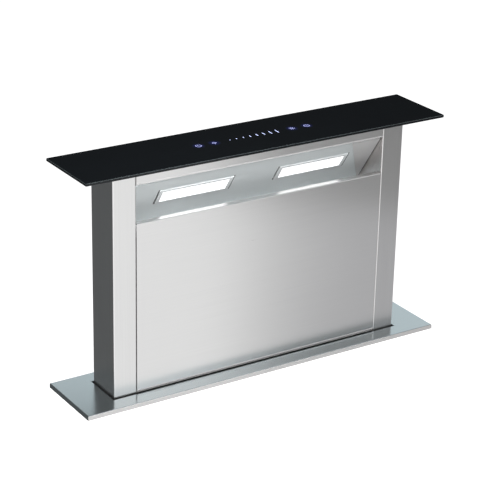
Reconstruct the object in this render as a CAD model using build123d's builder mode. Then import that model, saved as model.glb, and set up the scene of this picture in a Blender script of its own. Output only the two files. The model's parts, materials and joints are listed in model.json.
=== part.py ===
from build123d import *
import math
import os

os.makedirs("parts", exist_ok=True)

# A downdraft vent that rises out of a worktop behind a hob, shown raised.
# Millimetres.  The origin is the centre of the worktop flange's underside, +Z is up
# and +Y points away from the cook.

# ---------------------------------------------------------------- driving dimensions

# Sheet metal
sheet = 1.2
bend = 1.6

# Worktop flange
flange_end_overhang = 20
flange_side_overhang = 14
flange_height = 7
flange_lip = 12
slot_end_gap = 3
slot_side_gap = 3.5

# Glass control top
glass_width = 596
glass_depth = 116
glass_thickness = 4
glass_corner = 2
glass_bevel = 0.6
raised_height = 341
parked_gap = 2

# Chimney, the box that rises through the slot
chimney_width = 487
chimney_depth = 61
column_face = 36
rail_height = 24
rail_return = 6
rail_end_gap = 0.4
intake_height = 56
chimney_foot = 90
top_plate_thickness = 2

# Front panel and the apron under it
panel_side_gap = 0.6
panel_lip = 10
panel_lift = 2
apron_setback = 2.5
ledge_reach = 24
ledge_stop = 14

# Light panel
light_setback = 3.8
light_drop = 80.5
light_hem = 15
light_flange = 19
corner_tab_top = 52
corner_tab_foot = 4
corner_tab_margin = 3.2
corner_tab_thickness = 0.8

# Lamps
lamp_spacing = 198
lamp_slope_place = 42
lamp_length = 108
lamp_height = 21.5
lamp_rim = 4
lamp_end_rim = 6.4
lamp_end_gap = 1.4
lamp_wall = 2.4
lamp_rim_height = 1
lamp_housing_depth = 14
lens_thickness = 3
lens_clearance = 0.15

# Grease filters
filter_thickness = 9
filter_border = 13
filter_gap = 0.6
filter_foot_y = -15
filter_mesh = 2
mesh_pitch = 20
mesh_row_pitch = 22
mesh_hole = 13.6
filter_head_room = 4.05
filter_foot_room = 0.9
filter_tab_width = 44
filter_tab_height = 12

# Touch board
board_thickness = 1.6
touch_board_length = 214
touch_board_depth = 34
board_clearance = 1
key_spacing = 25.8
key_pad_radius = 6
slider_pad_length = 92
slider_pad_depth = 14

# Chassis under the worktop
lift_room = 36.5
chassis_side_ledge = 11
side_flange = 16
wiper_thickness = 2.5
wiper_lip = 1
wiper_gap = 0.6
wiper_clearance = 0.6
wiper_land = 21
pan_height = 20
pan_clearance = 0.3
chassis_margin = 2
bead_width = 18
bead_height = 1.5
bead_margin = 70
bead_spacing = 130
bead_count = 4
bead_slope = 30

# Lift: rails, belts, pulleys and shaft
rail_width = 28
rail_depth = 11
rail_wall = 2
rail_slot = 12
rail_y = 20
rail_top = -16
slide_clearance = 0.3
carriage_thickness = 3
carriage_height = 44
carriage_offset = 2
carriage_depth = 54
clamp_depth = 15.5
clamp_cover = 1.5
belt_width = 10
belt_thickness = 1.5
belt_radius = 12
belt_tooth_pitch = 8
belt_tooth_width = 3
belt_tooth_height = 1.5
belt_room = 17.5
pulley_clearance = 0.3
pulley_face = 11
pulley_flange_radius = 15
pulley_flange = 1.5
pulley_tooth_gap = 1.6
pulley_teeth = 10
idler_z = -25
idler_axle_radius = 4
idler_hub_radius = 7
idler_plate = 2.5
idler_plate_width = 34
idler_plate_height = 42
axle_head_radius = 6.5
axle_head = 2
lift_y = -20
shaft_radius = 5
shaft_gap = 25
running_clearance = 0.05
bearing_width = 28
bearing_height = 42
bearing_thickness = 8
bearing_flange = 2.5

# Lift drive
pulley_gap = 6.5
gearbox_width = 50
gearbox_depth = 46
gearbox_above = 22
gearbox_below = 52
gearbox_rounding = 5
lift_motor_radius = 18
lift_motor_length = 72
lift_motor_y = -14
lift_motor_cap = 10
lift_motor_cap_inset = 1.8
moulding_draft = 8

# Blower
inlet_radius = 68
throat_radius = 60
inlet_plate = 2.5
eye_radius = 62
wheel_radius = 76
wheel_width = 68
wheel_inset = 12
bell_curve = 11
bell_reach = 5
wheel_disc = 1.6
blade_count = 36
blade_thickness = 1
blade_lean = 14
blade_bow = 3.4
hub_radius = 11
hub_length = 20
motor_shaft_radius = 4
shaft_fit = 0.03
volute_radius = 90
volute_step = 16
tongue_angle = 50
volute_depth = 134
volute_wall = 2.5
motor_radius = 42
motor_tail = 20
motor_reach_in = 42
motor_flange_radius = 60
motor_flange = 3
motor_hole_clearance = 1
box_depth = 178
box_left = 145
box_right = 165
box_below = 125
box_above = 190
box_flange = 14
cover_skirt = 12
cover_field_margin = 26
cover_field_height = 3
cover_field_corner = 14
cover_field_slope = 45
box_screw_inset = 31.5

# Outlet spigot with its flaps
spigot_radius = 62.5
spigot_wall = 2
spigot_length = 60
spigot_plate = 2
spigot_plate_size = 130
spigot_bead = 0.8
spigot_bead_width = 4
spigot_bead_place = 9
pivot_offset = 15
pivot_radius = 2.5
pivot_clearance = 0.1
flap_gap = 1.5
flap_thickness = 1.6
knuckle_radius = 4.6
knuckle_length = 24
knuckle_gap = 1
flap_root = 5.4

# Control box
control_width = 200
control_height = 170
control_depth = 46
control_centre_x = -20
control_top = -140
control_board_margin = 12
control_board_standoff = 8
gland_bore = 4
gland_thread = 6
gland_thread_clearance = 0.1
gland_dome = 7.5
gland_hexagon = 9.5
gland_hexagon_height = 5
gland_length = 14
gland_tail = 6
gland_nut = 3
gland_spacing = 30
chip_length = 33
chip_width = 21
chip_height = 12
chip_column_pitch = 66
chip_row_pitch = 56

# Floor feet
foot_width = 60
foot_height = 50
foot_reach = 34
foot_thickness = 2
foot_clearance = 6
foot_slot_place = 18
foot_slot_radius = 3.2
foot_slot_length = 16

# Hexagon sheet-metal screws
screw_head_radius = 4
screw_head = 3
wall_screw_rows = 4
wall_screw_spacing = 180

# ---------------------------------------------------------------- places worked out

flange_under = flange_height - sheet
glass_top_z = flange_height + raised_height
glass_under = glass_top_z - glass_thickness
lift_travel = raised_height - glass_thickness - parked_gap
slot_width = chimney_width + 2 * slot_end_gap
slot_depth = chimney_depth + 2 * slot_side_gap
chassis_width = chimney_width + 2 * lift_room
chassis_depth = slot_depth + 2 * chassis_side_ledge
flange_width = chassis_width + 2 * flange_end_overhang
flange_depth = chassis_depth + 2 * flange_side_overhang
front_y = -chimney_depth / 2
back_y = chimney_depth / 2
side_x = chimney_width / 2
cheek_x = side_x - column_face
foot_z = -chimney_foot
plate_under = glass_under - top_plate_thickness
rail_bottom = glass_under - rail_height
panel_top = rail_bottom - intake_height
panel_bottom = flange_height + panel_lift
ledge_z = panel_bottom - slide_clearance
inside_back_y = back_y - sheet

chassis_front_y = -chassis_depth / 2
chassis_back_y = chassis_depth / 2
chassis_side_x = chassis_width / 2
wall_inside_x = chassis_side_x - sheet
wall_inside_y = chassis_depth / 2 - sheet

shaft_z = foot_z - lift_travel - shaft_gap - shaft_radius
blower_z = shaft_z - 2 * shaft_radius - inlet_radius
box_bottom = blower_z - box_below
chassis_bottom = box_bottom - box_flange - chassis_margin

carriage_bottom = foot_z + carriage_offset
carriage_top = carriage_bottom + carriage_height
rail_inner_x = wall_inside_x - rail_depth
belt_x = side_x + belt_room
pulley_outer = belt_x + pulley_face / 2 + pulley_flange
pulley_inner = belt_x - pulley_face / 2 - pulley_flange
gearbox_x = pulley_gap + bearing_flange + gearbox_width / 2 - pulley_inner
foot_x = box_right + box_flange + foot_clearance + foot_width / 2
lift_sides = (("left", -1), ("right", 1))


def folded_sheet(points, plane, side, thickness=sheet):
    """Section of a sheet folded along points: side is where the metal lies."""
    with BuildSketch(plane, mode=Mode.PRIVATE) as section:
        with BuildLine():
            FilletPolyline(*points, radius=bend)
            offset(amount=thickness, side=side)
        make_face()
    return section.sketch


# ---------------------------------------------------------------- worktop flange

with BuildPart() as worktop_flange:
    with BuildSketch():
        Rectangle(flange_width, flange_depth)
    extrude(amount=flange_height)
    fillet(worktop_flange.edges().group_by(Axis.Z)[-1], radius=sheet)
    with BuildSketch(Plane.XY.offset(sheet)):
        Rectangle(flange_width - 2 * sheet, flange_depth - 2 * sheet)
    extrude(amount=flange_height - 2 * sheet, mode=Mode.SUBTRACT)
    with BuildSketch():
        Rectangle(flange_width - 2 * flange_lip, flange_depth - 2 * flange_lip)
    extrude(amount=sheet, mode=Mode.SUBTRACT)
    with BuildSketch(Plane.XY.offset(flange_height)):
        Rectangle(slot_width, slot_depth)
    extrude(amount=-sheet, mode=Mode.SUBTRACT)
worktop_flange.part.label = "worktop_flange"
export_step(worktop_flange.part, "parts/worktop_flange.step")

# The wiper is a rubber frame under the flange, with a thin lip that stops short of
# the chimney.
wiper_width = slot_width + 2 * wiper_land
wiper_depth = 2 * (wall_inside_y - sheet - wiper_clearance)
with BuildPart() as slot_wiper:
    with BuildSketch(Plane.XY.offset(flange_under)):
        Rectangle(wiper_width, wiper_depth)
        Rectangle(slot_width + wiper_lip, slot_depth + wiper_lip, mode=Mode.SUBTRACT)
    extrude(amount=-wiper_thickness)
    with BuildSketch(Plane.XY.offset(flange_under - wiper_thickness)):
        Rectangle(wiper_width, wiper_depth)
        Rectangle(chimney_width + 2 * wiper_gap, chimney_depth + 2 * wiper_gap, mode=Mode.SUBTRACT)
    extrude(amount=-wiper_lip)
slot_wiper.part.label = "slot_wiper"
export_step(slot_wiper.part, "parts/slot_wiper.step")

# ---------------------------------------------------------------- glass and its plate

with BuildPart() as glass_top:
    with BuildSketch(Plane.XY.offset(glass_under)):
        RectangleRounded(glass_width, glass_depth, glass_corner)
    extrude(amount=glass_thickness)
    chamfer(glass_top.edges().group_by(Axis.Z)[-1], length=glass_bevel)
    chamfer(glass_top.edges().group_by(Axis.Z)[0], length=glass_bevel)
glass_top.part.label = "glass_top"
export_step(glass_top.part, "parts/glass_top.step")

with BuildPart() as top_plate:
    with BuildSketch(Plane.XY.offset(plate_under)):
        Rectangle(chimney_width - 2 * sheet, chimney_depth - 2 * sheet)
        Rectangle(
            touch_board_length + 2 * board_clearance,
            touch_board_depth + 2 * board_clearance,
            mode=Mode.SUBTRACT,
        )
    extrude(amount=top_plate_thickness)
top_plate.part.label = "top_plate"
export_step(top_plate.part, "parts/top_plate.step")

# Touch board, against the glass: four key pads, a slider pad and the chip below.
with BuildPart() as touch_board:
    with BuildSketch(Plane.XY.offset(glass_under)):
        Rectangle(touch_board_length, touch_board_depth)
    extrude(amount=-board_thickness)
    with BuildSketch(Plane.XY.offset(glass_under - board_thickness)):
        with GridLocations(touch_board_length - 2 * key_pad_radius, 0, 2, 1):
            Circle(key_pad_radius)
        with GridLocations(touch_board_length - 2 * key_pad_radius - 2 * key_spacing, 0, 2, 1):
            Circle(key_pad_radius)
        RectangleRounded(slider_pad_length, slider_pad_depth, slider_pad_depth / 3)
    extrude(amount=-board_thickness)
touch_board.part.label = "touch_board"
export_step(touch_board.part, "parts/touch_board.step")

# ---------------------------------------------------------------- chimney sheets

# Each column is a folded U: intake cheek, front face and outer side, open to the rear.
for side_name, side in lift_sides:
    column_points = (
        (side * cheek_x, inside_back_y),
        (side * cheek_x, front_y),
        (side * side_x, front_y),
        (side * side_x, inside_back_y),
    )
    metal_side = Side.RIGHT if side < 0 else Side.LEFT
    with BuildPart() as column:
        extrude(
            folded_sheet(column_points, Plane.XY.offset(foot_z), metal_side),
            amount=glass_under - foot_z,
        )
        with BuildSketch(Plane.XY.offset(plate_under)):
            Rectangle(chimney_width - 2 * sheet, chimney_depth - 2 * sheet)
        extrude(amount=top_plate_thickness, mode=Mode.SUBTRACT)
    column.part.label = f"column_{side_name}"
    export_step(column.part, f"parts/column_{side_name}.step")

with BuildPart() as rear_panel:
    with BuildSketch(Plane.XZ.offset(-back_y)):
        with Locations((0, foot_z)):
            Rectangle(chimney_width, glass_under - foot_z, align=(Align.CENTER, Align.MIN))
    extrude(amount=sheet)
rear_panel.part.label = "rear_panel"
export_step(rear_panel.part, "parts/rear_panel.step")

# The head rail closes the chimney under the glass and its hem carries the light panel.
rail_points = (
    (front_y + rail_return, rail_bottom),
    (front_y, rail_bottom),
    (front_y, glass_under),
)
with BuildPart() as head_rail:
    extrude(
        folded_sheet(rail_points, Plane.YZ, Side.RIGHT),
        amount=cheek_x - rail_end_gap,
        both=True,
    )
head_rail.part.label = "head_rail"
export_step(head_rail.part, "parts/head_rail.step")

# The front panel lifts off; its top lip is the lower edge of the intake.
panel_points = (
    (front_y + panel_lip, panel_top),
    (front_y, panel_top),
    (front_y, panel_bottom),
    (front_y + panel_lip, panel_bottom),
)
with BuildPart() as front_panel:
    extrude(
        folded_sheet(panel_points, Plane.YZ, Side.LEFT),
        amount=cheek_x - panel_side_gap,
        both=True,
    )
front_panel.part.label = "front_panel"
export_step(front_panel.part, "parts/front_panel.step")

# The apron closes the front below the panel and folds back into the filter ledge.
apron_y = front_y + apron_setback
ledge_rear_y = apron_y + ledge_reach
apron_points = (
    (apron_y, foot_z),
    (apron_y, ledge_z),
    (ledge_rear_y, ledge_z),
    (ledge_rear_y, ledge_z + ledge_stop),
)
with BuildPart() as front_apron:
    extrude(folded_sheet(apron_points, Plane.YZ, Side.RIGHT), amount=cheek_x, both=True)
front_apron.part.label = "front_apron"
export_step(front_apron.part, "parts/front_apron.step")

# ---------------------------------------------------------------- light panel and lamps

light_top = (front_y + light_setback, rail_bottom)
light_foot = (inside_back_y - sheet, rail_bottom - light_drop)
light_points = (
    (light_top[0] + light_flange, rail_bottom),
    light_top,
    light_foot,
    (light_foot[0], light_foot[1] - light_hem),
)
slope_length = math.dist(light_top, light_foot)
slope_y = (light_foot[0] - light_top[0]) / slope_length
slope_z = (light_foot[1] - light_top[1]) / slope_length
lamp_body_length = lamp_length + 2 * lamp_wall
lamp_rim_length = lamp_length + 2 * lamp_end_rim
lamp_opening_length = lamp_rim_length + 2 * lamp_end_gap
lamp_opening_height = lamp_height + 2 * lamp_wall
tab_top = lamp_slope_place - corner_tab_margin
tab_foot = lamp_slope_place - slope_length + corner_tab_margin


def lamp_plane(x):
    """Plane on the light panel's face at a lamp: its y runs up the slope."""
    origin = (
        x,
        light_top[0] + slope_y * lamp_slope_place,
        light_top[1] + slope_z * lamp_slope_place,
    )
    return Plane(origin=origin, x_dir=(1, 0, 0), z_dir=(0, slope_z, -slope_y))


# Each lamp's rim laps over its opening along the long sides and stops short of the ends,
# where the opening shows as a slit.  A triangular tab stiffens each end of the panel.
with BuildPart() as light_panel:
    extrude(folded_sheet(light_points, Plane.YZ, Side.LEFT), amount=cheek_x, both=True)
    with BuildSketch(lamp_plane(0)):
        with GridLocations(lamp_spacing, 0, 2, 1):
            Rectangle(lamp_opening_length, lamp_opening_height)
    extrude(amount=-2 * sheet, mode=Mode.SUBTRACT)
    for side in (-1, 1):
        with BuildSketch(lamp_plane(0)):
            with BuildLine():
                Polyline(
                    (side * cheek_x, tab_top),
                    (side * (cheek_x - corner_tab_top), tab_top),
                    (side * (cheek_x - corner_tab_foot), tab_foot),
                    (side * cheek_x, tab_foot),
                    close=True,
                )
            make_face()
        extrude(amount=corner_tab_thickness)
light_panel.part.label = "light_panel"
export_step(light_panel.part, "parts/light_panel.step")

for side_name, side in lift_sides:
    lamp_face = lamp_plane(side * lamp_spacing / 2)
    with BuildPart() as lamp_housing:
        with BuildSketch(lamp_face):
            Rectangle(lamp_rim_length, lamp_height + 2 * lamp_rim)
        extrude(amount=lamp_rim_height)
        rim_face = lamp_housing.faces().sort_by(Axis(lamp_face.origin, lamp_face.z_dir))[-1]
        chamfer(rim_face.edges(), length=lamp_rim_height / 2)
        with BuildSketch(lamp_face):
            Rectangle(lamp_body_length - lens_clearance, lamp_opening_height - lens_clearance)
        extrude(amount=-lamp_housing_depth)
        with BuildSketch(lamp_face.offset(lamp_rim_height)):
            Rectangle(lamp_length, lamp_height)
        extrude(amount=-lamp_rim_height - lamp_housing_depth + lamp_wall, mode=Mode.SUBTRACT)
    lamp_housing.part.label = f"lamp_housing_{side_name}"
    export_step(lamp_housing.part, f"parts/lamp_housing_{side_name}.step")

    with BuildPart() as lamp_lens:
        with BuildSketch(lamp_face.offset(lamp_rim_height / 2)):
            Rectangle(lamp_length - 2 * lens_clearance, lamp_height - 2 * lens_clearance)
        extrude(amount=-lens_thickness)
        fillet(lamp_lens.edges().group_by(SortBy.LENGTH)[0], radius=lens_clearance)
    lamp_lens.part.label = f"lamp_lens_{side_name}"
    export_step(lamp_lens.part, f"parts/lamp_lens_{side_name}.step")

# ---------------------------------------------------------------- grease filters

# Each filter leans back: its foot stands on the ledge and its head rests on the light
# panel's hem.
filter_width = (2 * cheek_x - 3 * filter_gap) / 2
filter_head_gap = slide_clearance + filter_head_room
filter_head_y = light_foot[0] - filter_head_gap - slide_clearance
filter_head_z = light_foot[1] - light_hem / 2
filter_foot_z = ledge_z + slide_clearance + filter_foot_room
filter_length = math.hypot(filter_head_y - filter_foot_y, filter_head_z - filter_foot_z)
filter_y = (filter_head_y - filter_foot_y) / filter_length
filter_z = (filter_head_z - filter_foot_z) / filter_length

for side_name, side in lift_sides:
    filter_plane = Plane(
        origin=(side * (filter_width + filter_gap) / 2, filter_foot_y, filter_foot_z),
        x_dir=(1, 0, 0),
        z_dir=(0, -filter_z, filter_y),
    )
    mesh_columns = int((filter_width - 2 * filter_border) / mesh_pitch)
    mesh_rows = int((filter_length - 2 * filter_border) / mesh_row_pitch)
    with BuildPart() as grease_filter:
        with BuildSketch(filter_plane.offset(-filter_thickness / 2)):
            with Locations((0, filter_length / 2)):
                Rectangle(filter_width, filter_length)
                Rectangle(
                    filter_width - 2 * filter_border,
                    filter_length - 2 * filter_border,
                    mode=Mode.SUBTRACT,
                )
        extrude(amount=filter_thickness)
        with BuildSketch(filter_plane.offset(-filter_mesh / 2)):
            with Locations((0, filter_length / 2)):
                Rectangle(filter_width - filter_border, filter_length - filter_border)
                with GridLocations(mesh_pitch, mesh_row_pitch, mesh_columns, mesh_rows):
                    Rectangle(mesh_hole, mesh_hole, rotation=45, mode=Mode.SUBTRACT)
        extrude(amount=filter_mesh)
        with BuildSketch(filter_plane.offset(filter_thickness / 2)):
            with Locations((0, filter_length - filter_border)):
                Rectangle(filter_tab_width, sheet)
        extrude(amount=filter_tab_height)
    grease_filter.part.label = f"grease_filter_{side_name}"
    export_step(grease_filter.part, f"parts/grease_filter_{side_name}.step")

# ---------------------------------------------------------------- chassis sheets

chassis_height = flange_under - chassis_bottom
bead_centre_z = chassis_bottom + chassis_height / 2

with BuildPart() as chassis_front_wall:
    with BuildSketch(Plane.XZ.offset(-chassis_front_y)):
        with Locations((0, chassis_bottom)):
            Rectangle(chassis_width, chassis_height, align=(Align.CENTER, Align.MIN))
        with Locations((0, blower_z)):
            Circle(inlet_radius, mode=Mode.SUBTRACT)
    extrude(amount=-sheet)
chassis_front_wall.part.label = "chassis_front_wall"
export_step(chassis_front_wall.part, "parts/chassis_front_wall.step")

with BuildPart() as chassis_rear_wall:
    with BuildSketch(Plane.XZ.offset(-chassis_back_y)):
        with Locations((0, chassis_bottom)):
            Rectangle(chassis_width, chassis_height, align=(Align.CENTER, Align.MIN))
    extrude(amount=sheet)
    with BuildSketch(Plane.XZ.offset(-chassis_back_y)):
        with Locations((0, bead_centre_z)):
            with GridLocations(0, bead_spacing, 1, bead_count):
                SlotOverall(chassis_width - 2 * bead_margin, bead_width)
    extrude(amount=-bead_height, taper=bead_slope)
    with BuildSketch(Plane.XZ.offset(-chassis_back_y + sheet)):
        with Locations((0, bead_centre_z)):
            with GridLocations(0, bead_spacing, 1, bead_count):
                SlotOverall(chassis_width - 2 * bead_margin - 2 * sheet, bead_width - 2 * sheet)
    extrude(amount=-bead_height, taper=bead_slope, mode=Mode.SUBTRACT)
chassis_rear_wall.part.label = "chassis_rear_wall"
export_step(chassis_rear_wall.part, "parts/chassis_rear_wall.step")

for side_name, side in lift_sides:
    wall_points = (
        (side * (chassis_side_x - side_flange), -wall_inside_y),
        (side * chassis_side_x, -wall_inside_y),
        (side * chassis_side_x, wall_inside_y),
        (side * (chassis_side_x - side_flange), wall_inside_y),
    )
    metal_side = Side.RIGHT if side < 0 else Side.LEFT
    with BuildPart() as chassis_side:
        extrude(
            folded_sheet(wall_points, Plane.XY.offset(chassis_bottom), metal_side),
            amount=chassis_height,
        )
    chassis_side.part.label = f"chassis_side_{side_name}"
    export_step(chassis_side.part, f"parts/chassis_side_{side_name}.step")

pan_width = 2 * (wall_inside_x - pan_clearance)
pan_depth = 2 * (wall_inside_y - sheet - pan_clearance)
with BuildPart() as bottom_pan:
    with BuildSketch(Plane.XY.offset(chassis_bottom)):
        RectangleRounded(pan_width, pan_depth, bend)
    extrude(amount=pan_height)
    offset(amount=-sheet, openings=bottom_pan.faces().sort_by(Axis.Z)[-1])
bottom_pan.part.label = "bottom_pan"
export_step(bottom_pan.part, "parts/bottom_pan.step")

for side_name, side in lift_sides:
    foot_points = (
        (chassis_front_y, chassis_bottom + foot_height),
        (chassis_front_y, chassis_bottom),
        (chassis_front_y - foot_reach, chassis_bottom),
    )
    with BuildPart() as floor_foot:
        foot_section = folded_sheet(
            foot_points, Plane.YZ.offset(side * foot_x), Side.RIGHT, thickness=foot_thickness
        )
        extrude(foot_section, amount=foot_width / 2, both=True)
        with BuildSketch(Plane.XY.offset(chassis_bottom)):
            with Locations((side * foot_x, chassis_front_y - foot_slot_place)):
                SlotOverall(foot_slot_length, 2 * foot_slot_radius)
        extrude(amount=foot_thickness, mode=Mode.SUBTRACT)
    floor_foot.part.label = f"floor_foot_{side_name}"
    export_step(floor_foot.part, f"parts/floor_foot_{side_name}.step")

# ---------------------------------------------------------------- lift guides

for side_name, side in lift_sides:
    metal_side = Side.RIGHT if side < 0 else Side.LEFT
    guide_points = (
        (side * rail_inner_x, rail_y - rail_slot / 2),
        (side * rail_inner_x, rail_y - rail_width / 2),
        (side * wall_inside_x, rail_y - rail_width / 2),
        (side * wall_inside_x, rail_y + rail_width / 2),
        (side * rail_inner_x, rail_y + rail_width / 2),
        (side * rail_inner_x, rail_y + rail_slot / 2),
    )
    guide_bottom = shaft_z + shaft_radius
    with BuildPart() as guide_rail:
        extrude(
            folded_sheet(guide_points, Plane.XY.offset(guide_bottom), metal_side, rail_wall),
            amount=rail_top - guide_bottom,
        )
    guide_rail.part.label = f"guide_rail_{side_name}"
    export_step(guide_rail.part, f"parts/guide_rail_{side_name}.step")

    # The shoe is a T: its head runs inside the rail and its stem comes out of the slot.
    head_outer = wall_inside_x - rail_wall - slide_clearance
    head_inner = rail_inner_x + rail_wall + slide_clearance
    shoe_base = side_x + carriage_thickness
    with BuildPart() as glide_shoe:
        with BuildSketch(Plane.XY.offset(carriage_bottom)):
            with Locations((side * (head_outer + head_inner) / 2, rail_y)):
                Rectangle(
                    head_outer - head_inner,
                    rail_width - 2 * rail_wall - 2 * slide_clearance,
                )
            with Locations((side * (head_outer + shoe_base) / 2, rail_y)):
                Rectangle(head_outer - shoe_base, rail_slot - 2 * slide_clearance)
        extrude(amount=carriage_height)
    glide_shoe.part.label = f"glide_shoe_{side_name}"
    export_step(glide_shoe.part, f"parts/glide_shoe_{side_name}.step")

    # The carriage is a plate on the column's foot, with a block that grips the belt.
    belt_outer_y = lift_y + belt_radius + belt_thickness
    belt_inner_y = lift_y + belt_radius - belt_tooth_height
    grip_low = belt_inner_y - slide_clearance
    grip_high = belt_outer_y + slide_clearance
    clamp_y = (grip_low + grip_high) / 2
    clamp_outer = belt_x + belt_width / 2 + clamp_cover
    grip_inner = belt_x - belt_width / 2 - 2 * slide_clearance
    with BuildPart() as carriage:
        with BuildSketch(Plane.XY.offset(carriage_bottom)):
            with Locations((side * (side_x + carriage_thickness / 2), 0)):
                Rectangle(carriage_thickness, carriage_depth)
            with Locations((side * (side_x + clamp_outer) / 2, clamp_y)):
                Rectangle(clamp_outer - side_x, clamp_depth)
            with Locations((side * (grip_inner + clamp_outer) / 2, clamp_y)):
                Rectangle(clamp_outer - grip_inner, grip_high - grip_low, mode=Mode.SUBTRACT)
        extrude(amount=carriage_height)
    carriage.part.label = f"carriage_{side_name}"
    export_step(carriage.part, f"parts/carriage_{side_name}.step")

# ---------------------------------------------------------------- belts and pulleys

pulley_radius = belt_radius - pulley_clearance
belt_span = idler_z - shaft_z
tooth_rows = int((belt_span - 2 * pulley_radius) / belt_tooth_pitch)
tooth_sink = belt_thickness / 3
hub_outer_end = wall_inside_x - idler_plate - slide_clearance

for side_name, side in lift_sides:
    with BuildPart() as drive_belt:
        with BuildSketch(Plane.YZ.offset(side * belt_x)):
            with Locations((lift_y, (idler_z + shaft_z) / 2)):
                SlotCenterToCenter(belt_span, 2 * (belt_radius + belt_thickness), rotation=90)
                SlotCenterToCenter(belt_span, 2 * belt_radius, rotation=90, mode=Mode.SUBTRACT)
                tooth_centre = belt_radius - belt_tooth_height / 2 + tooth_sink / 2
                with GridLocations(2 * tooth_centre, belt_tooth_pitch, 2, tooth_rows):
                    Rectangle(belt_tooth_height + tooth_sink, belt_tooth_width)
        extrude(amount=belt_width / 2, both=True)
    drive_belt.part.label = f"drive_belt_{side_name}"
    export_step(drive_belt.part, f"parts/drive_belt_{side_name}.step")

    with BuildPart() as drive_pulley:
        with BuildSketch(Plane.YZ.offset(side * pulley_inner)):
            with Locations((lift_y, shaft_z)):
                Circle(pulley_flange_radius)
        extrude(amount=side * (pulley_outer - pulley_inner))
        with BuildSketch(Plane.YZ.offset(side * (pulley_inner + pulley_flange))):
            with Locations((lift_y, shaft_z)):
                Circle(pulley_flange_radius)
                Circle(pulley_radius, mode=Mode.SUBTRACT)
                with PolarLocations(pulley_radius, pulley_teeth):
                    Circle(pulley_tooth_gap)
        extrude(amount=side * pulley_face, mode=Mode.SUBTRACT)
        with BuildSketch(Plane.YZ.offset(side * pulley_inner)):
            with Locations((lift_y, shaft_z)):
                Circle(shaft_radius + shaft_fit)
        extrude(amount=side * (pulley_outer - pulley_inner), mode=Mode.SUBTRACT)
    drive_pulley.part.label = f"drive_pulley_{side_name}"
    export_step(drive_pulley.part, f"parts/drive_pulley_{side_name}.step")

    with BuildPart() as idler_pulley:
        idler_plane = Plane(origin=(0, lift_y, idler_z), x_dir=(0, 1, 0), z_dir=(1, 0, 0))
        with BuildSketch(idler_plane.offset(side * pulley_inner)):
            Circle(pulley_flange_radius)
        extrude(amount=side * (pulley_outer - pulley_inner))
        with BuildSketch(idler_plane.offset(side * (pulley_inner + pulley_flange))):
            Circle(pulley_flange_radius)
            Circle(pulley_radius, mode=Mode.SUBTRACT)
        extrude(amount=side * pulley_face, mode=Mode.SUBTRACT)
        with BuildSketch(idler_plane.offset(side * (pulley_inner - axle_head))):
            Circle(idler_hub_radius)
        extrude(amount=side * (hub_outer_end - pulley_inner + axle_head))
        with BuildSketch(idler_plane.offset(side * (pulley_inner - axle_head))):
            Circle(idler_axle_radius + running_clearance)
        extrude(amount=side * (hub_outer_end - pulley_inner + axle_head), mode=Mode.SUBTRACT)
    idler_pulley.part.label = f"idler_pulley_{side_name}"
    export_step(idler_pulley.part, f"parts/idler_pulley_{side_name}.step")

    # The idler's bracket is a plate on the side wall with a headed axle.
    head_face = pulley_inner - axle_head - slide_clearance
    with BuildPart() as idler_bracket:
        with BuildSketch(idler_plane.offset(side * wall_inside_x)):
            RectangleRounded(idler_plate_width, idler_plate_height, bend)
        extrude(amount=-side * idler_plate)
        with BuildSketch(idler_plane.offset(side * (wall_inside_x - idler_plate))):
            Circle(idler_axle_radius)
        extrude(amount=-side * (wall_inside_x - idler_plate - head_face))
        with BuildSketch(idler_plane.offset(side * head_face)):
            Circle(axle_head_radius)
        extrude(amount=-side * axle_head)
    idler_bracket.part.label = f"idler_bracket_{side_name}"
    export_step(idler_bracket.part, f"parts/idler_bracket_{side_name}.step")

    # The shaft's end turns in a flanged plain bearing on the side wall.
    shaft_plane = Plane(origin=(0, lift_y, shaft_z), x_dir=(0, 1, 0), z_dir=(1, 0, 0))
    with BuildPart() as shaft_bearing:
        with BuildSketch(shaft_plane.offset(side * wall_inside_x)):
            RectangleRounded(bearing_width, bearing_height, bend)
        extrude(amount=-side * bearing_flange)
        with BuildSketch(shaft_plane.offset(side * wall_inside_x)):
            Circle(2 * shaft_radius)
        extrude(amount=-side * bearing_thickness)
        with BuildSketch(shaft_plane.offset(side * wall_inside_x)):
            Circle(shaft_radius + running_clearance)
        extrude(amount=-side * bearing_thickness, mode=Mode.SUBTRACT)
    shaft_bearing.part.label = f"shaft_bearing_{side_name}"
    export_step(shaft_bearing.part, f"parts/shaft_bearing_{side_name}.step")

with BuildPart() as cross_shaft:
    with BuildSketch(shaft_plane):
        Circle(shaft_radius)
    extrude(amount=wall_inside_x - slide_clearance, both=True)
cross_shaft.part.label = "cross_shaft"
export_step(cross_shaft.part, "parts/cross_shaft.step")

# ---------------------------------------------------------------- lift drive

gearbox_front = -wall_inside_y
gearbox_mid_y = gearbox_front + gearbox_depth / 2
gearbox_bottom = shaft_z - gearbox_below
with BuildPart() as gearbox:
    with BuildSketch(Plane.XY.offset(gearbox_bottom)):
        with Locations((gearbox_x, gearbox_mid_y)):
            RectangleRounded(gearbox_width, gearbox_depth, gearbox_rounding)
    extrude(amount=gearbox_below + gearbox_above)
    chamfer(gearbox.edges().group_by(Axis.Z)[-1], length=gearbox_rounding / 2)
    with BuildSketch(shaft_plane.offset(gearbox_x)):
        Circle(2 * shaft_radius)
    extrude(amount=gearbox_width / 2 + bearing_flange, both=True)
    with BuildSketch(shaft_plane.offset(gearbox_x)):
        Circle(shaft_radius + running_clearance)
    extrude(amount=gearbox_width, both=True, mode=Mode.SUBTRACT)
gearbox.part.label = "gearbox"
export_step(gearbox.part, "parts/gearbox.step")

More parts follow.
